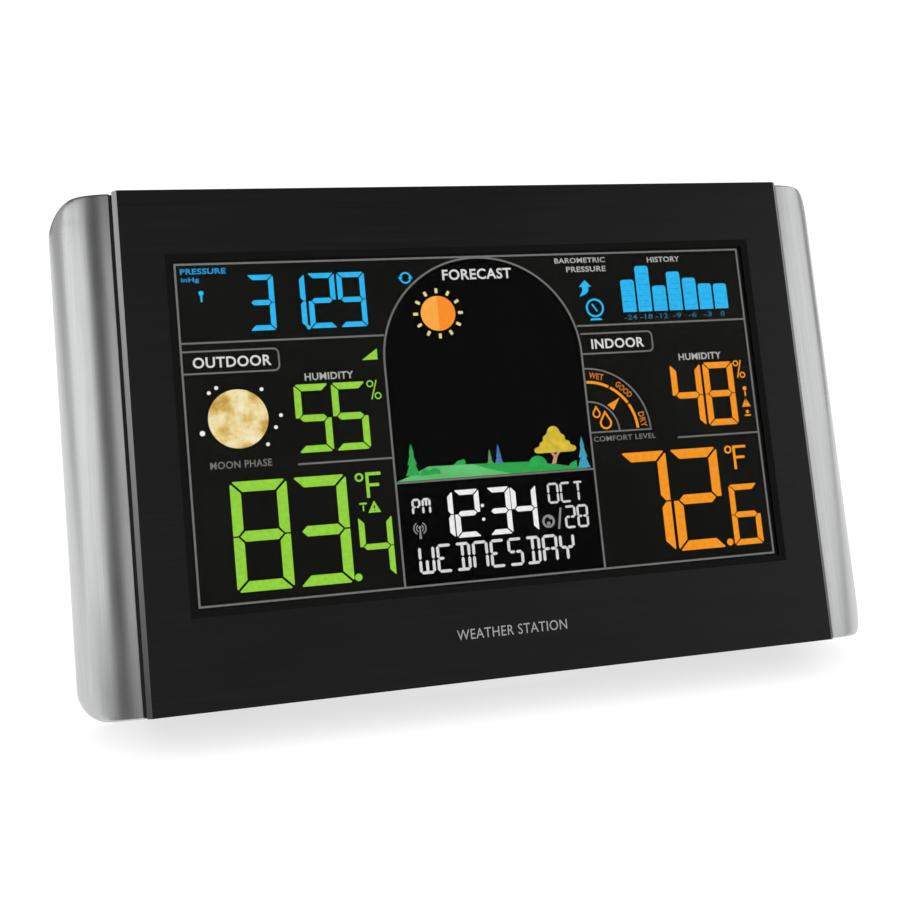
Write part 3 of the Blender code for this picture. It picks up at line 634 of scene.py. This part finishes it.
def add_softbox(name, azimuth, elevation, size, glow, roll=0.0):
    """An area light a metre from the panel, azimuth degrees left of its front. Its radiance is glow."""
    turn, rise = radians(azimuth), radians(elevation)
    way = Vector((-sin(turn) * cos(rise), -cos(turn) * cos(rise), sin(rise)))
    data = bpy.data.lights.new(name, "AREA")
    data.shape = "RECTANGLE"
    data.size, data.size_y = size
    data.energy = glow * pi * size[0] * size[1]
    light = add_object(name, data)
    light.location = FACE_CENTRE + way
    facing = (-way).to_track_quat("-Z", "Y") @ Quaternion((0.0, 0.0, 1.0), radians(roll))
    light.rotation_euler = facing.to_euler()
    light.visible_camera = False


def add_sky(name, power, spread):
    """An even soft light from above, which has no falloff, so that the floor stays pale."""
    data = bpy.data.lights.new(name, "SUN")
    data.energy = power
    data.angle = radians(spread)
    add_object(name, data).visible_glossy = False


def add_world():
    """White behind the object, and a dim even light around it."""
    world = bpy.data.worlds.new("studio")
    world.use_nodes = True
    nodes, links = world.node_tree.nodes, world.node_tree.links
    background = nodes["Background"]
    path = nodes.new("ShaderNodeLightPath")
    level = nodes.new("ShaderNodeMapRange")
    level.inputs["To Min"].default_value = AMBIENT_LEVEL
    level.inputs["To Max"].default_value = BACKDROP_LEVEL
    links.new(path.outputs["Is Camera Ray"], level.inputs["Value"])
    links.new(level.outputs["Result"], background.inputs["Strength"])
    background.inputs["Color"].default_value = (1.0, 1.0, 1.0, 1.0)
    bpy.context.scene.world = world


def add_floor():
    """A pale sheet with a light of its own, which keeps shadows faint."""
    mesh = bmesh.new()
    bmesh.ops.create_grid(mesh, size=FLOOR_REACH)
    data = bpy.data.meshes.new("floor")
    mesh.to_mesh(data)
    mesh.free()
    floor = add_object("floor", data)
    finish = Finish("floor_paper", Specular_IOR_Level=0.0, Roughness=0.9, Emission_Strength=0.7)
    tones = (0.3, neutral(0.33)), (0.7, neutral(0.35))
    finish.colour(finish.noise(3.0), *tones)
    finish.drive("Emission Color", (*neutral(1.0), 1.0))
    data.materials.append(finish.material)


# ------------ case
CAP_INNER, CAP_REACH = 92.65, 108.4    # from a cap's edge by the slit to its outer end
CAP_FRONT, CAP_WIDEST, CAP_REAR = 2.6, 17.3, 26.7    # depths
CAP_SHOULDER = (91.8, 3.5)    # where it passes behind the panel
CAP_REAR_RADIUS = 12.0
CAP_HALF_HEIGHT = FACE_HEIGHT / 2
CAP_MIDDLE = FACE_HEIGHT / 2 - ORIGIN_HEIGHT
CAP_CORNER = 7.5    # radius of its corners, seen from the front
CAP_BLEND = 1.6    # how softly its side runs into a corner
CAP_RIM = 0.4    # rounding of its top and bottom edges
CAP_INNER_EDGE = 0.35
CORNER_STEPS, RIM_STEPS, SIDE_STEPS = 12, 8, 8
SEAM_OUTLINE = [(92.12, 2.95), (92.4, 2.8), (92.95, 3.1), (92.95, 3.45), (92.12, 3.15)]
SEAM_END_GAP = 0.3
SIDE_EDGES_FROM = 85.0    # the panel's bevelled side edges lie outside this
WINDOW_WITHIN = 82.0    # and the slopes of its window inside this
REAR_KEYS = [f"rear_key_{index}" for index in range(1, 7)]


def cap_levels():
    """Heights of the cap's sections: close together round its corners and rim."""
    last_turn = asin(1.0 - CAP_RIM / CAP_CORNER)
    corner_turns = [last_turn * step / CORNER_STEPS for step in range(CORNER_STEPS)]
    heights = [CAP_HALF_HEIGHT - CAP_CORNER * (1.0 - sin(turn)) for turn in corner_turns]
    rim_turns = [radians(90.0) * step / RIM_STEPS for step in range(RIM_STEPS + 1)]
    heights += [CAP_HALF_HEIGHT - CAP_RIM * (1.0 - sin(turn)) for turn in rim_turns]
    side = [heights[0] * step / SIDE_STEPS for step in range(1 - SIDE_STEPS, SIDE_STEPS)]
    return [-height for height in reversed(heights)] + side + heights


def cap_section(side, height):
    """The cap's outline at one height, with its outer end drawn in softly towards a corner."""
    past_corner = max(abs(height) - (CAP_HALF_HEIGHT - CAP_CORNER), 0.0)
    cut = max(CAP_CORNER - sqrt(max(CAP_CORNER ** 2 - past_corner ** 2, 0.0)), 0.00001)
    limit = CAP_REACH - cut + CAP_BLEND ** 2 / (4.0 * cut)
    past_rim = max(abs(height) - (CAP_HALF_HEIGHT - CAP_RIM), 0.0)
    inset = CAP_RIM - sqrt(max(CAP_RIM ** 2 - past_rim ** 2, 0.0))
    front, rear = CAP_FRONT + inset, CAP_REAR - inset
    width = CAP_REACH - CAP_INNER - inset
    rear_centre = (CAP_REACH - CAP_REAR_RADIUS, CAP_WIDEST)
    inner_edge = (CAP_INNER + CAP_INNER_EDGE, front + CAP_INNER_EDGE)
    outline = arc(inner_edge, CAP_INNER_EDGE, 180, 270, 4)
    outline += arc((CAP_INNER, CAP_WIDEST), (width, CAP_WIDEST - front), -88, 0, 36)
    outline += arc(rear_centre, (CAP_REAR_RADIUS - inset, rear - CAP_WIDEST), 0, 90, 16)[1:]
    outline += [(CAP_SHOULDER[0], rear), CAP_SHOULDER, (CAP_INNER, CAP_SHOULDER[1])]
    held = [((x + limit - hypot(limit - x, CAP_BLEND)) / 2, y) for x, y in outline]
    return [(side * x, y) for x, y in held]


def build_cap(name, side):
    """A side cap: its sections joined from bottom to top, and closed at both ends."""
    mesh = bmesh.new()
    loops = []
    for height in cap_levels():
        section = cap_section(side, height)
        loops.append([mesh.verts.new((x, y, height + CAP_MIDDLE)) for x, y in section])
    for lower, upper in zip(loops, loops[1:]):
        for index in range(len(lower)):
            after = (index + 1) % len(lower)
            mesh.faces.new((lower[index], lower[after], upper[after], upper[index]))
    mesh.faces.new(loops[0])
    mesh.faces.new(loops[-1])
    for face in mesh.faces:
        face.smooth = True
    piece = add_solid(name + "_cover", mesh, FINISHES["silver"])
    piece.data.set_sharp_from_angle(angle=radians(60.0))
    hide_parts(name)


def build_seam(name, side):
    """The black foam strip that fills the slit between the panel and a cap."""
    mesh = bmesh.new()
    reach = CAP_HALF_HEIGHT - SEAM_END_GAP
    ends = [CAP_MIDDLE - reach, CAP_MIDDLE + reach]
    rims = [[mesh.verts.new((side * x, y, height)) for x, y in SEAM_OUTLINE] for height in ends]
    edges = [mesh.edges.new((rim[step - 1], rim[step])) for rim in rims for step in range(len(rim))]
    bmesh.ops.bridge_loops(mesh, edges=edges)
    for rim in rims:
        bmesh.ops.contextual_create(mesh, geom=rim)
    add_solid(name, mesh, FINISHES["rubber"])


def build_panel():
    """The front panel, with its bright side edges and the matt slope round its window."""
    bezel = softened("front_bezel", 0.22, "bezel", sharp=25.0)
    bezel.data.materials.append(cut_edge())
    bezel.data.materials.append(window_lip())
    for face in bezel.data.polygons:
        facing = -face.normal.dot(INTO_THE_CASE)
        place = FACE.inverted() @ face.center
        on_side_edge = abs(place.x) > SIDE_EDGES_FROM and 0.3 < facing < 0.9
        on_window_slope = abs(place.x) < WINDOW_WITHIN and 0.1 < place.y < 3.0 and facing < 0.95
        if on_side_edge:
            face.material_index = 1
        if on_window_slope:
            face.material_index = 2


def build_case():
    """Every outer piece, and a finish for each CAD node from its slot."""
    build_panel()
    for name, side in (("left_cap", -1), ("right_cap", 1)):
        build_cap(name, side)
        build_seam(name + "_seam", side)
    softened("rear_housing", 0.3, "housing")
    softened("kickstand", 0.35, "housing")
    softened("battery_cover", 0.3, "housing")
    softened("snooze_button", 0.45, "keys")
    for node in REAR_KEYS:
        softened(node, 0.35, "keys")
    for node in ("left_foot", "right_foot", "stand_pad"):
        softened(node, 0.2, "rubber")
    softened("dc_jack", 0.15, "black_plastic")
    for entry in frame["record"]["subparts"]:
        data = frame["nodes"][entry["node"]].data
        data.materials.clear()
        data.materials.append(FINISHES[entry["material_slot"]])


# ------------ display
LINE = 0.5    # width of the lines that frame the fields
SCREEN_LOW, SCREEN_HIGH = (-77.9, -39.65), (77.8, 46.3)
ARCH_CENTRE, ARCH_RADIUS = (0.85, 18.8), 27.25
ARCH_LEFT, ARCH_RIGHT = ARCH_CENTRE[0] - ARCH_RADIUS, ARCH_CENTRE[0] + ARCH_RADIUS
LAND_LINE = -12.9


def build_fields():
    """The lit panel's faintly glowing black, darker inside the forecast window."""
    brown_black = lit("field_black", (0.0050, 0.0049, 0.0038), spread=0.2, scale=60.0)
    deep_black = lit("deep_black", neutral(0.0002), spread=0.2, scale=60.0)
    low = (SCREEN_LOW[0] - 1.0, SCREEN_LOW[1] - 1.0)
    high = (SCREEN_HIGH[0] + 1.0, SCREEN_HIGH[1] + 1.0)
    relief("display_field", [rounded_box(low, high, 0.5)], brown_black, FIELD)
    arch = [(ARCH_RIGHT, SCREEN_LOW[1]), (ARCH_RIGHT, ARCH_CENTRE[1])]
    arch += arc(ARCH_CENTRE, ARCH_RADIUS, 0, 180, 40)[1:]
    arch += [(ARCH_LEFT, SCREEN_LOW[1])]
    relief("forecast_field", [arch], deep_black, CENTRE_FIELD)


def build_frame_lines():
    """The grey lines round the display's fields and labels."""
    half = LINE / 2
    edge = [SCREEN_LOW, (SCREEN_HIGH[0], SCREEN_LOW[1]), SCREEN_HIGH, (SCREEN_LOW[0], SCREEN_HIGH[1])]
    lines = stroke(edge, LINE, True)
    arch = [(ARCH_RIGHT, SCREEN_LOW[1] + half)]
    arch += arc(ARCH_CENTRE, ARCH_RADIUS, 0, 180, 48)
    arch += [(ARCH_LEFT, SCREEN_LOW[1] + half)]
    lines += stroke(arch, LINE)
    left, right = SCREEN_LOW[0] + half, SCREEN_HIGH[0] - half
    left_post, right_post = ARCH_LEFT - half, ARCH_RIGHT + half
    spans = [
        (left, left_post + 0.75, 26.0), (-51.0, left_post, -6.2),
        (ARCH_LEFT + half, ARCH_RIGHT - half, LAND_LINE),
        (right_post - 0.75, right, 26.2), (53.35, right, -6.0),
    ]
    for start, end, height in spans:
        lines += stroke([(start, height), (end, height)], LINE * 0.92)
    outdoor = [(left, 23.85)] + arc((-54.95, 22.55), 1.3, 90, 0, 5)
    outdoor += arc((-54.95, 19.5), 1.3, 0, -90, 5) + [(left, 18.2)]
    indoor = [(right_post, 23.95)] + arc((47.8, 22.65), 1.3, 90, 0, 5)
    indoor += arc((47.8, 19.7), 1.3, 0, -90, 5) + [(right_post, 18.4)]
    lines += stroke(outdoor, LINE * 0.85) + stroke(indoor, LINE * 0.85)
    relief("frame_lines", lines, LIT["grey"])


def build_readings():
    """The large figures, each group its own piece."""
    outdoor = figures([("8", -68.5, -54.3), ("3", -53.1, -39.2)], -37.0, -9.5, LARGE)
    relief("outdoor_temperature", outdoor + disc((-38.1, -35.9), 0.95), LIT["green"])
    tenths = mitred_digit("4", -37.0, -28.3, -36.3, -20.7, 1.5, 0.24, 0.5)
    relief("outdoor_tenths", tenths, LIT["green"])
    humidity = figures([("5", -50.6, -41.5), ("5", -41.0, -31.9)], -3.4, 14.15, MEDIUM)
    relief("outdoor_humidity", humidity, LIT["green"])
    places = [("3", -60.3, -53.5), ("1", -52.1, -45.5), ("2", -44.8, -37.7), ("9", -37.1, -29.8)]
    pressure = figures(places, 28.6, 43.1, FINE)
    relief("pressure_figures", pressure + disc((-45.3, 28.9), 0.55, 12), LIT["blue"])
    indoor = figures([("7", 35.8, 49.1), ("2", 50.0, 64.3)], -36.9, -9.3, LARGE)
    relief("indoor_temperature", indoor + disc((65.2, -35.7), 0.95), LIT["orange"])
    tenths = mitred_digit("6", 66.6, 75.3, -36.8, -20.1, 1.6, 0.2, 0.6)
    relief("indoor_tenths", tenths, LIT["orange"])
    humidity = figures([("4", 53.35, 62.4), ("8", 63.15, 72.2)], -3.4, 14.35, MEDIUM)
    relief("indoor_humidity", humidity, LIT["orange"])


def waves(centre, radius, line, spread):
    """A pair of arcs that face each other across a point, as radio waves are drawn."""
    right = ring(centre, radius, line, -spread, spread, 8)
    return right + ring(centre, radius, line, 180 - spread, 180 + spread, 8)


def build_clock():
    """The time, the weekday and the date, with the small signs between them."""
    places = [("1", -18.6, -11.85), ("2", -11.5, -4.7), ("3", -2.6, 3.8), ("4", 4.0, 10.95)]
    colon = disc((-3.96, -20.3), 0.45, 14) + disc((-3.96, -23.9), 0.45, 14)
    relief("clock_figures", figures(places, -28.2, -15.8, CLOCK) + colon, LIT["white"])
    weekday = star_text("WEDNESDAY", -22.2, -36.7, (4.25, 7.35), 4.78, 0.76, 0.08)
    relief("weekday_letters", weekday, LIT["pale"])
    date = star_text("OCT", 14.2, -21.3, (3.15, 5.5), 3.55, 0.58, 0.06)
    date += star_text("28", 18.3, -28.2, (3.2, 6.1), 3.5, 0.62, 0.06)
    date += star_text("PM", -22.8, -21.5, (2.4, 4.3), 2.7, 0.6, 0.05)
    relief("date_letters", date, LIT["pale"])
    slash = stroke([(16.4, -28.1), (17.4, -22.5)], 0.55)
    tower = []
    for radius, line in ((1.6, 0.3), (0.9, 0.28)):
        tower += waves((-21.15, -24.9), radius, line, 60)
    tower += [[(-21.3, -25.0), (-21.0, -25.0), (-20.8, -27.6), (-21.5, -27.6)]]
    tower += disc((-21.15, -24.7), 0.38, 10)
    badge = ring((13.7, -25.85), 1.45, 0.6, steps=20) + disc((13.7, -26.4), 0.5, 10)
    badge += [[(13.2, -24.3), (13.9, -24.0), (14.8, -25.3), (14.2, -25.4)]]
    pale_grey = lit("lit_pale_grey", (0.29, 0.29, 0.28), spread=0.14)
    relief("clock_signs", slash + tower + badge, pale_grey)


def history_bar(left, right, bottom, top):
    """A bar with its two upper corners rounded."""
    radius = 0.8
    upper_right = arc((right - radius, top - radius), radius, 0, 90, 4)
    upper_left = arc((left + radius, top - radius), radius, 90, 180, 4)
    return [(left, bottom), (right, bottom)] + upper_right + upper_left


def build_pressure_history():
    """Seven bars with fine rungs across them, and the hour that each one stands for."""
    hours = (
        ("-24", 38.6), ("-18", 42.4), ("-12", 36.65), ("-9", 40.5), ("-6", 38.6), ("-3", 36.8),
        ("0", 36.65),
    )
    first, pitch, width, bottom = 41.6, 4.62, 4.02, 29.5
    rung_pitch, rung_inset, letter_width = 1.55, 0.55, 1.24
    bars, rungs, labels = [], [], []
    for index, (hour, top) in enumerate(hours):
        left = first + index * pitch
        right = left + width
        bars.append(history_bar(left, right, bottom, top))
        for step in range(int((top - bottom - 1.2) / rung_pitch)):
            height = bottom + 1.4 + step * rung_pitch
            rungs += stroke([(left + rung_inset, height), (right - rung_inset, height)], 0.16)
        middle = left + width / 2
        half = letter_width / 2 * len(hour)
        labels.append((hour, (middle - half, 27.35), (middle + half, 28.75)))
    relief("history_bars", bars, LIT["blue"])
    relief("history_rungs", rungs, lit("lit_deep_blue", (0.010, 0.36, 0.80), spread=0.2), MARKS)
    lettering("history_hours", labels, lit("lit_dusk_blue", (0.04, 0.16, 0.25), spread=0.15), 0.01)


def build_pressure_signs():
    """The arrow and dial beside the history, and the two blue signs at the upper left."""
    arrow = [
        (31.25, 38.9), (29.35, 37.0), (30.25, 37.0), (30.35, 36.0), (29.3, 34.3), (31.3, 35.0),
        (32.1, 36.0), (32.1, 37.0), (33.0, 37.0),
    ]
    dial = ring((33.4, 31.05), 2.35, 0.55, steps=22) + stroke([(32.65, 32.15), (34.0, 30.05)], 0.42)
    foot = [(31.5, 27.6), (35.3, 27.6), (34.6, 28.15), (32.2, 28.15)]
    relief("pressure_signs", [arrow] + dial + [foot], LIT["blue"])
    small = stroke([(-71.85, 36.5), (-71.85, 38.3)], 0.5) + disc((-71.85, 38.75), 0.66, 14)
    turning = ring((-18.75, 41.1), 1.35, 0.45, 25, 165, 9)
    turning += ring((-18.75, 41.1), 1.35, 0.45, 205, 345, 9)
    turning.append([(-20.75, 41.35), (-19.45, 41.35), (-20.1, 40.3)])
    turning.append([(-18.05, 40.85), (-16.75, 40.85), (-17.4, 41.9)])
    relief("small_signs", small + turning, LIT["blue"])


def percent(left, bottom, width, height, line):
    small = width * 0.23
    shapes = ring((left + small, bottom + height - small * 1.1), small * 0.95, line, steps=12)
    shapes += ring((left + width - small, bottom + small * 1.1), small * 0.95, line, steps=12)
    slash = [(left + width * 0.28, bottom), (left + width * 0.72, bottom + height)]
    return shapes + stroke(slash, line)


def degrees_f(left, bottom, top, degree, line):
    """A degree ring and a plain F."""
    shapes = ring(degree, 0.88, 0.5, steps=16)
    post = left + line / 2
    bar = top - line / 2
    middle = bottom + (top - bottom) * 0.5
    shapes += stroke([(post, bottom), (post, bar), (left + 4.0, bar)], line)
    return shapes + stroke([(left + line, middle), (left + 3.4, middle)], line)


def warning(x, bottom, size):
    """A warning triangle, without its mark."""
    return [[(x - size, bottom), (x + size, bottom), (x, bottom + size * 1.85)]]


def build_small_signs():
    """Units, percent signs and alerts beside the readings."""
    green = percent(-31.6, 9.3, 3.5, 5.0, 0.32) + degrees_f(-34.15, -16.0, -9.5, (-35.8, -10.65), 0.82)
    green += warning(-32.5, -19.85, 1.65)
    green += stroke([(-36.3, -17.4), (-34.4, -17.4)], 0.45)
    green += stroke([(-35.35, -17.8), (-35.35, -19.3)], 0.35)
    green.append([(-32.3, 19.7), (-28.15, 19.7), (-28.15, 22.6)])
    relief("green_signs", green, LIT["green"])
    bang = stroke([(-32.5, -18.0), (-32.5, -18.9)], 0.3) + disc((-32.5, -19.35), 0.17, 8)
    bang += stroke([(75.1, 3.6), (75.1, 2.9)], 0.28) + disc((75.1, 2.5), 0.16, 8)
    relief("warning_marks", bang, lit("mark_black", (0.01, 0.02, 0.01), spread=0.1), MARKS)
    orange = percent(72.6, 9.5, 3.2, 5.0, 0.36) + degrees_f(69.2, -15.9, -9.3, (67.8, -10.35), 0.75)
    orange += warning(75.1, 1.3, 1.35) + disc((75.2, 6.5), 0.6, 14)
    orange += stroke([(75.2, 5.8), (75.2, 4.3)], 0.4)
    orange += disc((75.2, -0.1), 0.5, 12) + stroke([(74.3, -1.1), (76.1, -1.1)], 0.45)
    relief("orange_signs", orange, LIT["orange"])


def droplet(x, z, radius, line):
    """An outlined drop with its point up."""
    outline = arc((x, z), radius, -220, 40, 18)
    return stroke(outline + [(x, z + radius * 1.95)], line, True)


def build_comfort_dial():
    """A quarter dial in three parts, with its words between two arcs."""
    centre, line = (28.3, -3.05), LINE * 0.8
    outer, words, band, inner = 17.4, 15.55, 13.7, 8.3    # radii
    arcs = ring(centre, outer, line, 1, 90, 24) + ring(centre, inner, line, 1, 90, 24)
    arcs += stroke([(ARCH_RIGHT + LINE / 2, centre[1] - 0.1), (46.0, centre[1] - 0.1)], line)
    relief("dial_arcs", arcs, LIT["grey"])
    signs = []
    for start, end in ((2, 31), (33, 60), (62, 89)):
        signs += ring(centre, band, 0.75, start, end, 10)
    signs += [[(37.6, 5.9), (33.9, 4.15), (35.5, 2.6)]]
    signs += droplet(30.5, 1.9, 0.95, 0.42) + droplet(32.9, -0.7, 1.5, 0.5)
    relief("dial_signs", signs, LIT["orange"])
    labels = []
    for text, turn, wide in (("WET", 78, 4.2), ("GOOD", 46, 5.4), ("DRY", 10, 4.2)):
        x = centre[0] + words * cos(radians(turn))
        z = centre[1] + words * sin(radians(turn))
        labels.append((text, (x - wide / 2, z - 0.85), (x + wide / 2, z + 0.85), turn - 90))
    lettering("dial_words", labels, lit("lit_burnt_orange", (0.62, 0.19, 0.03), spread=0.15), 0.02)


def build_moon():
    relief("moon", disc((-65.0, 6.3), 7.5, 64), moon_light())
    stars = disc((-74.1, 3.1), 0.68, 12)
    small = (-69.9, 14.4), (-71.8, 13.2), (-58.65, 13.5), (-54.3, 6.6), (-55.8, 3.6), (-58.15, -0.6)
    for place in small:
        stars += disc(place, 0.5, 10)
    relief("stars", stars, LIT["white"])


def rays(centre, number, inner, outer, line):
    """Short strokes that point away from a sun."""
    shapes = []
    for index in range(number):
        turn = radians(index * 360 / number)
        way = Vector((cos(turn), sin(turn)))
        shapes += stroke([Vector(centre) + way * inner, Vector(centre) + way * outer], line)
    return shapes


def pine(x, base, top, half):
    """A fir of three tiers, each wider than the one above."""
    rise = (top - base) / 3
    right = [(x, top)]
    for tier in (1, 2, 3):
        wide = half * tier / 3
        foot = top - rise * tier
        right += [(x + wide * 0.78, foot + rise * 0.3), (x + wide, foot)]
        if tier < 3:
            right.append((x + wide * 0.6, foot))
    left = [(2 * x - px, pz) for px, pz in reversed(right[1:])]
    return [right + left]


def build_landscape():
    """The scene in the forecast window: sun, ground, bushes, firs and a broad tree."""
    sun = (-10.8, 31.25)
    light = lit("sun_light", (1.0, 0.42, 0.065), spread=0.06)
    deep = lit("sun_deep", (1.0, 0.28, 0.026), spread=0.06)
    relief("sun_left", [arc(sun, 4.7, 90, 270, 30)], light)
    relief("sun_right", [arc(sun, 4.7, -90, 90, 30)], deep)
    cream = lit("ray_cream", (0.86, 0.74, 0.34), spread=0.15)
    relief("sun_rays", rays(sun, 12, 5.45, 6.75, 0.75), cream)
    ground = LAND_LINE + 0.35
    back = [
        (-2.5, -10.4), (-5.4, -9.3), (0.0, -9.4), (9.6, -9.7), (18.1, -11.0), (23.5, -12.1),
        (26.6, ground), (5.0, ground),
    ]
    relief("far_hill", [back], lit("hill_green", (0.030, 0.37, 0.067), spread=0.1))
    front = [(-26.0, ground), (-22.3, -11.2), (-17.3, -9.1), (-5.4, -9.3), (-2.5, -10.4), (5.0, ground)]
    relief("near_meadow", [front], lit("meadow_green", (0.13, 0.56, 0.17), spread=0.2, scale=120.0))
    bushes = [
        arc((-18.3, -11.4), (1.5, 1.7), 0, 180, 10),
        arc((-15.9, -11.2), (1.7, 1.6), 0, 180, 10),
        arc((12.4, -10.9), (2.6, 2.6), 0, 180, 12),
        [(-10.8, -9.25), (-9.4, -8.2), (-7.6, -7.8), (-7.3, -9.25)],
        [(20.6, -12.2), (21.6, -10.9), (23.3, -10.2), (23.3, -12.3)],
    ]
    relief("bushes", bushes, lit("bush_green", (0.028, 0.40, 0.085), spread=0.2, scale=200.0), MARKS)
    firs = (
        ("left_fir", (-21.6, -11.2, -2.85, 1.95), (0.035, 0.38, 0.08)),
        ("pale_fir", (-0.65, -9.4, -5.65, 0.85), (0.12, 0.31, 0.15)),
        ("blue_fir", (1.8, -9.5, -4.5, 1.15), (0.07, 0.19, 0.48)),
        ("teal_fir", (25.3, -12.4, -3.9, 1.85), (0.055, 0.36, 0.50)),
    )
    for name, shape, colour in firs:
        relief(name, pine(*shape), lit(name + "_light", colour, spread=0.15), MARKS)
    crown = arc((13.0, -6.9), (1.2, 0.85), 260, 100, 6) + arc((14.3, -5.5), (0.9, 0.8), 200, 95, 4)
    crown += arc((15.5, -3.9), (1.0, 1.0), 205, 95, 5) + arc((17.6, -2.4), (1.75, 1.75), 175, 5, 10)
    crown += arc((19.7, -3.9), (1.0, 1.0), 85, -25, 5) + arc((21.1, -5.5), (0.9, 0.8), 85, -20, 4)
    crown += arc((22.4, -6.9), (1.2, 0.85), 80, -80, 6)
    trunk = [
        (16.3, -10.75), (17.5, -10.75), (18.1, -8.9), (19.1, -7.6), (18.2, -7.6), (17.6, -8.5),
        (17.0, -7.6), (16.2, -7.6), (17.0, -9.0),
    ]
    relief("tree_trunk", [trunk], lit("trunk_pink", (0.60, 0.30, 0.22), spread=0.12), MARKS)
    yellow = lit("crown_yellow", (0.72, 0.53, 0.045), spread=0.25, scale=420.0)
    relief("tree_crown", [crown], yellow, MARKS)


def build_words():
    """The display's words, one piece for each colour."""
    large = [
        ("OUTDOOR", (-75.2, 19.55), (-55.6, 22.35)),
        ("INDOOR", (31.2, 19.65), (46.6, 22.4)),
        ("FORECAST", (-8.7, 40.1), (10.5, 43.0)),
    ]
    small = [
        ("HUMIDITY", (-47.5, 15.1), (-34.9, 17.0)),
        ("HUMIDITY", (56.4, 15.3), (69.2, 17.2)),
        ("BAROMETRIC", (23.15, 43.75), (37.85, 45.2)),
        ("PRESSURE", (26.3, 41.2), (37.8, 42.75)),
        ("HISTORY", (50.3, 43.3), (60.1, 44.85)),
    ]
    blue = [("PRESSURE", (-76.7, 43.7), (-65.3, 45.2)), ("inHg", (-76.6, 41.4), (-72.1, 42.9))]
    dim = [("MOON PHASE", (-72.8, -6.1), (-57.5, -4.25)), ("COMFORT LEVEL", (28.9, -5.7), (46.9, -4.3))]
    lettering("large_words", large, LIT["pale"], 0.02)
    lettering("small_words", small, lit("lit_soft_white", (0.45, 0.45, 0.44), spread=0.12), 0.02)
    lettering("blue_words", blue, lit("lit_soft_blue", (0.02, 0.30, 0.60), spread=0.12), 0.03)
    lettering("dim_words", dim, LIT["dim"], 0.01)


def silver_ink():
    """Silver screen printing, a little thin in places."""
    finish = Finish("silver_ink", Metallic=0.2)
    tones = (0.3, (0.30, 0.30, 0.31)), (0.7, (0.38, 0.38, 0.39))
    finish.colour(finish.noise(1500.0), *tones)
    finish.roughness(finish.noise(400.0), 0.4, 0.55)
    return finish.material


def build_title(ink):
    """Plain generic lettering where makers put a name."""
    mesh = bmesh.new()
    add_label(mesh, "WEATHER STATION", (-14.6, -54.2), (15.0, -51.6), FRONT_PRINT_DEPTH, 0.0)
    add_solid("front_title", mesh, ink)


SIGN_FROM_KEY = 9.0    # from the middle of a key to the middle of its sign


def middle_on_face(node):
    """A node's middle, as X and Z on the face."""
    low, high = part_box(node)
    place = FACE.inverted() @ ((low + high) / 2)
    return place.x, place.z


def build_rear_marks(ink):
    """Plain printed signs beside the rear keys, and a polarity sign by the power inlet."""
    places = [middle_on_face(node) for node in REAR_KEYS]
    clock, down, up, bars, sun, radio = [(x - SIGN_FROM_KEY, z) for x, z in places]
    x, z = clock
    shapes = ring(clock, 1.6, 0.35) + stroke([(x, z + 1.0), clock, (x - 0.8, z)], 0.35)
    x, z = down
    shapes += [[(x - 1.4, z + 1.0), (x, z - 1.3), (x + 1.4, z + 1.0)]]
    x, z = up
    shapes += [[(x - 1.4, z - 1.0), (x + 1.4, z - 1.0), (x, z + 1.3)]]
    x, z = bars
    for step, top in enumerate((0.2, 1.3, 0.7)):
        shapes += stroke([(x - 1.3 + step * 1.3, z - 1.3), (x - 1.3 + step * 1.3, z + top)], 0.8)
    shapes += disc(sun, 0.7, 16) + rays(sun, 8, 1.1, 1.8, 0.3)
    shapes += waves(radio, 0.9, 0.35, 50) + waves(radio, 1.7, 0.35, 50) + disc(radio, 0.35, 12)
    x, z = middle_on_face("dc_jack")
    shapes += ring((x - 11.0, z), 0.9, 0.3) + disc((x - 11.0, z), 0.35, 12)
    shapes += ring((x - 14.2, z), 0.7, 0.3) + ring((x - 7.8, z), 0.7, 0.3)
    shapes += stroke([(x - 13.3, z), (x - 12.1, z)], 0.3) + stroke([(x - 9.9, z), (x - 8.7, z)], 0.3)
    flat_piece("rear_marks", shapes, ink, REAR_PRINT_DEPTH)


def build_display():
    build_fields()
    build_frame_lines()
    build_readings()
    build_clock()
    build_pressure_history()
    build_pressure_signs()
    build_small_signs()
    build_comfort_dial()
    build_moon()
    build_landscape()
    build_words()


# ------------ scene
add_camera()
add_world()
add_floor()
add_sky("overhead", 3.3, 130.0)
add_softbox("left_softbox", 77.0, 16.0, (0.86, 0.48), 1.4, roll=18.0)
add_softbox("left_rear_softbox", 123.0, 14.0, (0.9, 0.5), 0.5)
add_softbox("right_rear_softbox", -140.0, 14.0, (0.9, 0.5), 0.7)
add_softbox("front_softbox", 12.0, 29.0, (0.42, 0.5), 0.82)
add_softbox("right_softbox", -69.0, 20.0, (1.38, 0.66), 1.12)
build_case()
build_display()
printing = silver_ink()
build_title(printing)
build_rear_marks(printing)
bpy.context.scene.view_settings.view_transform = "Standard"
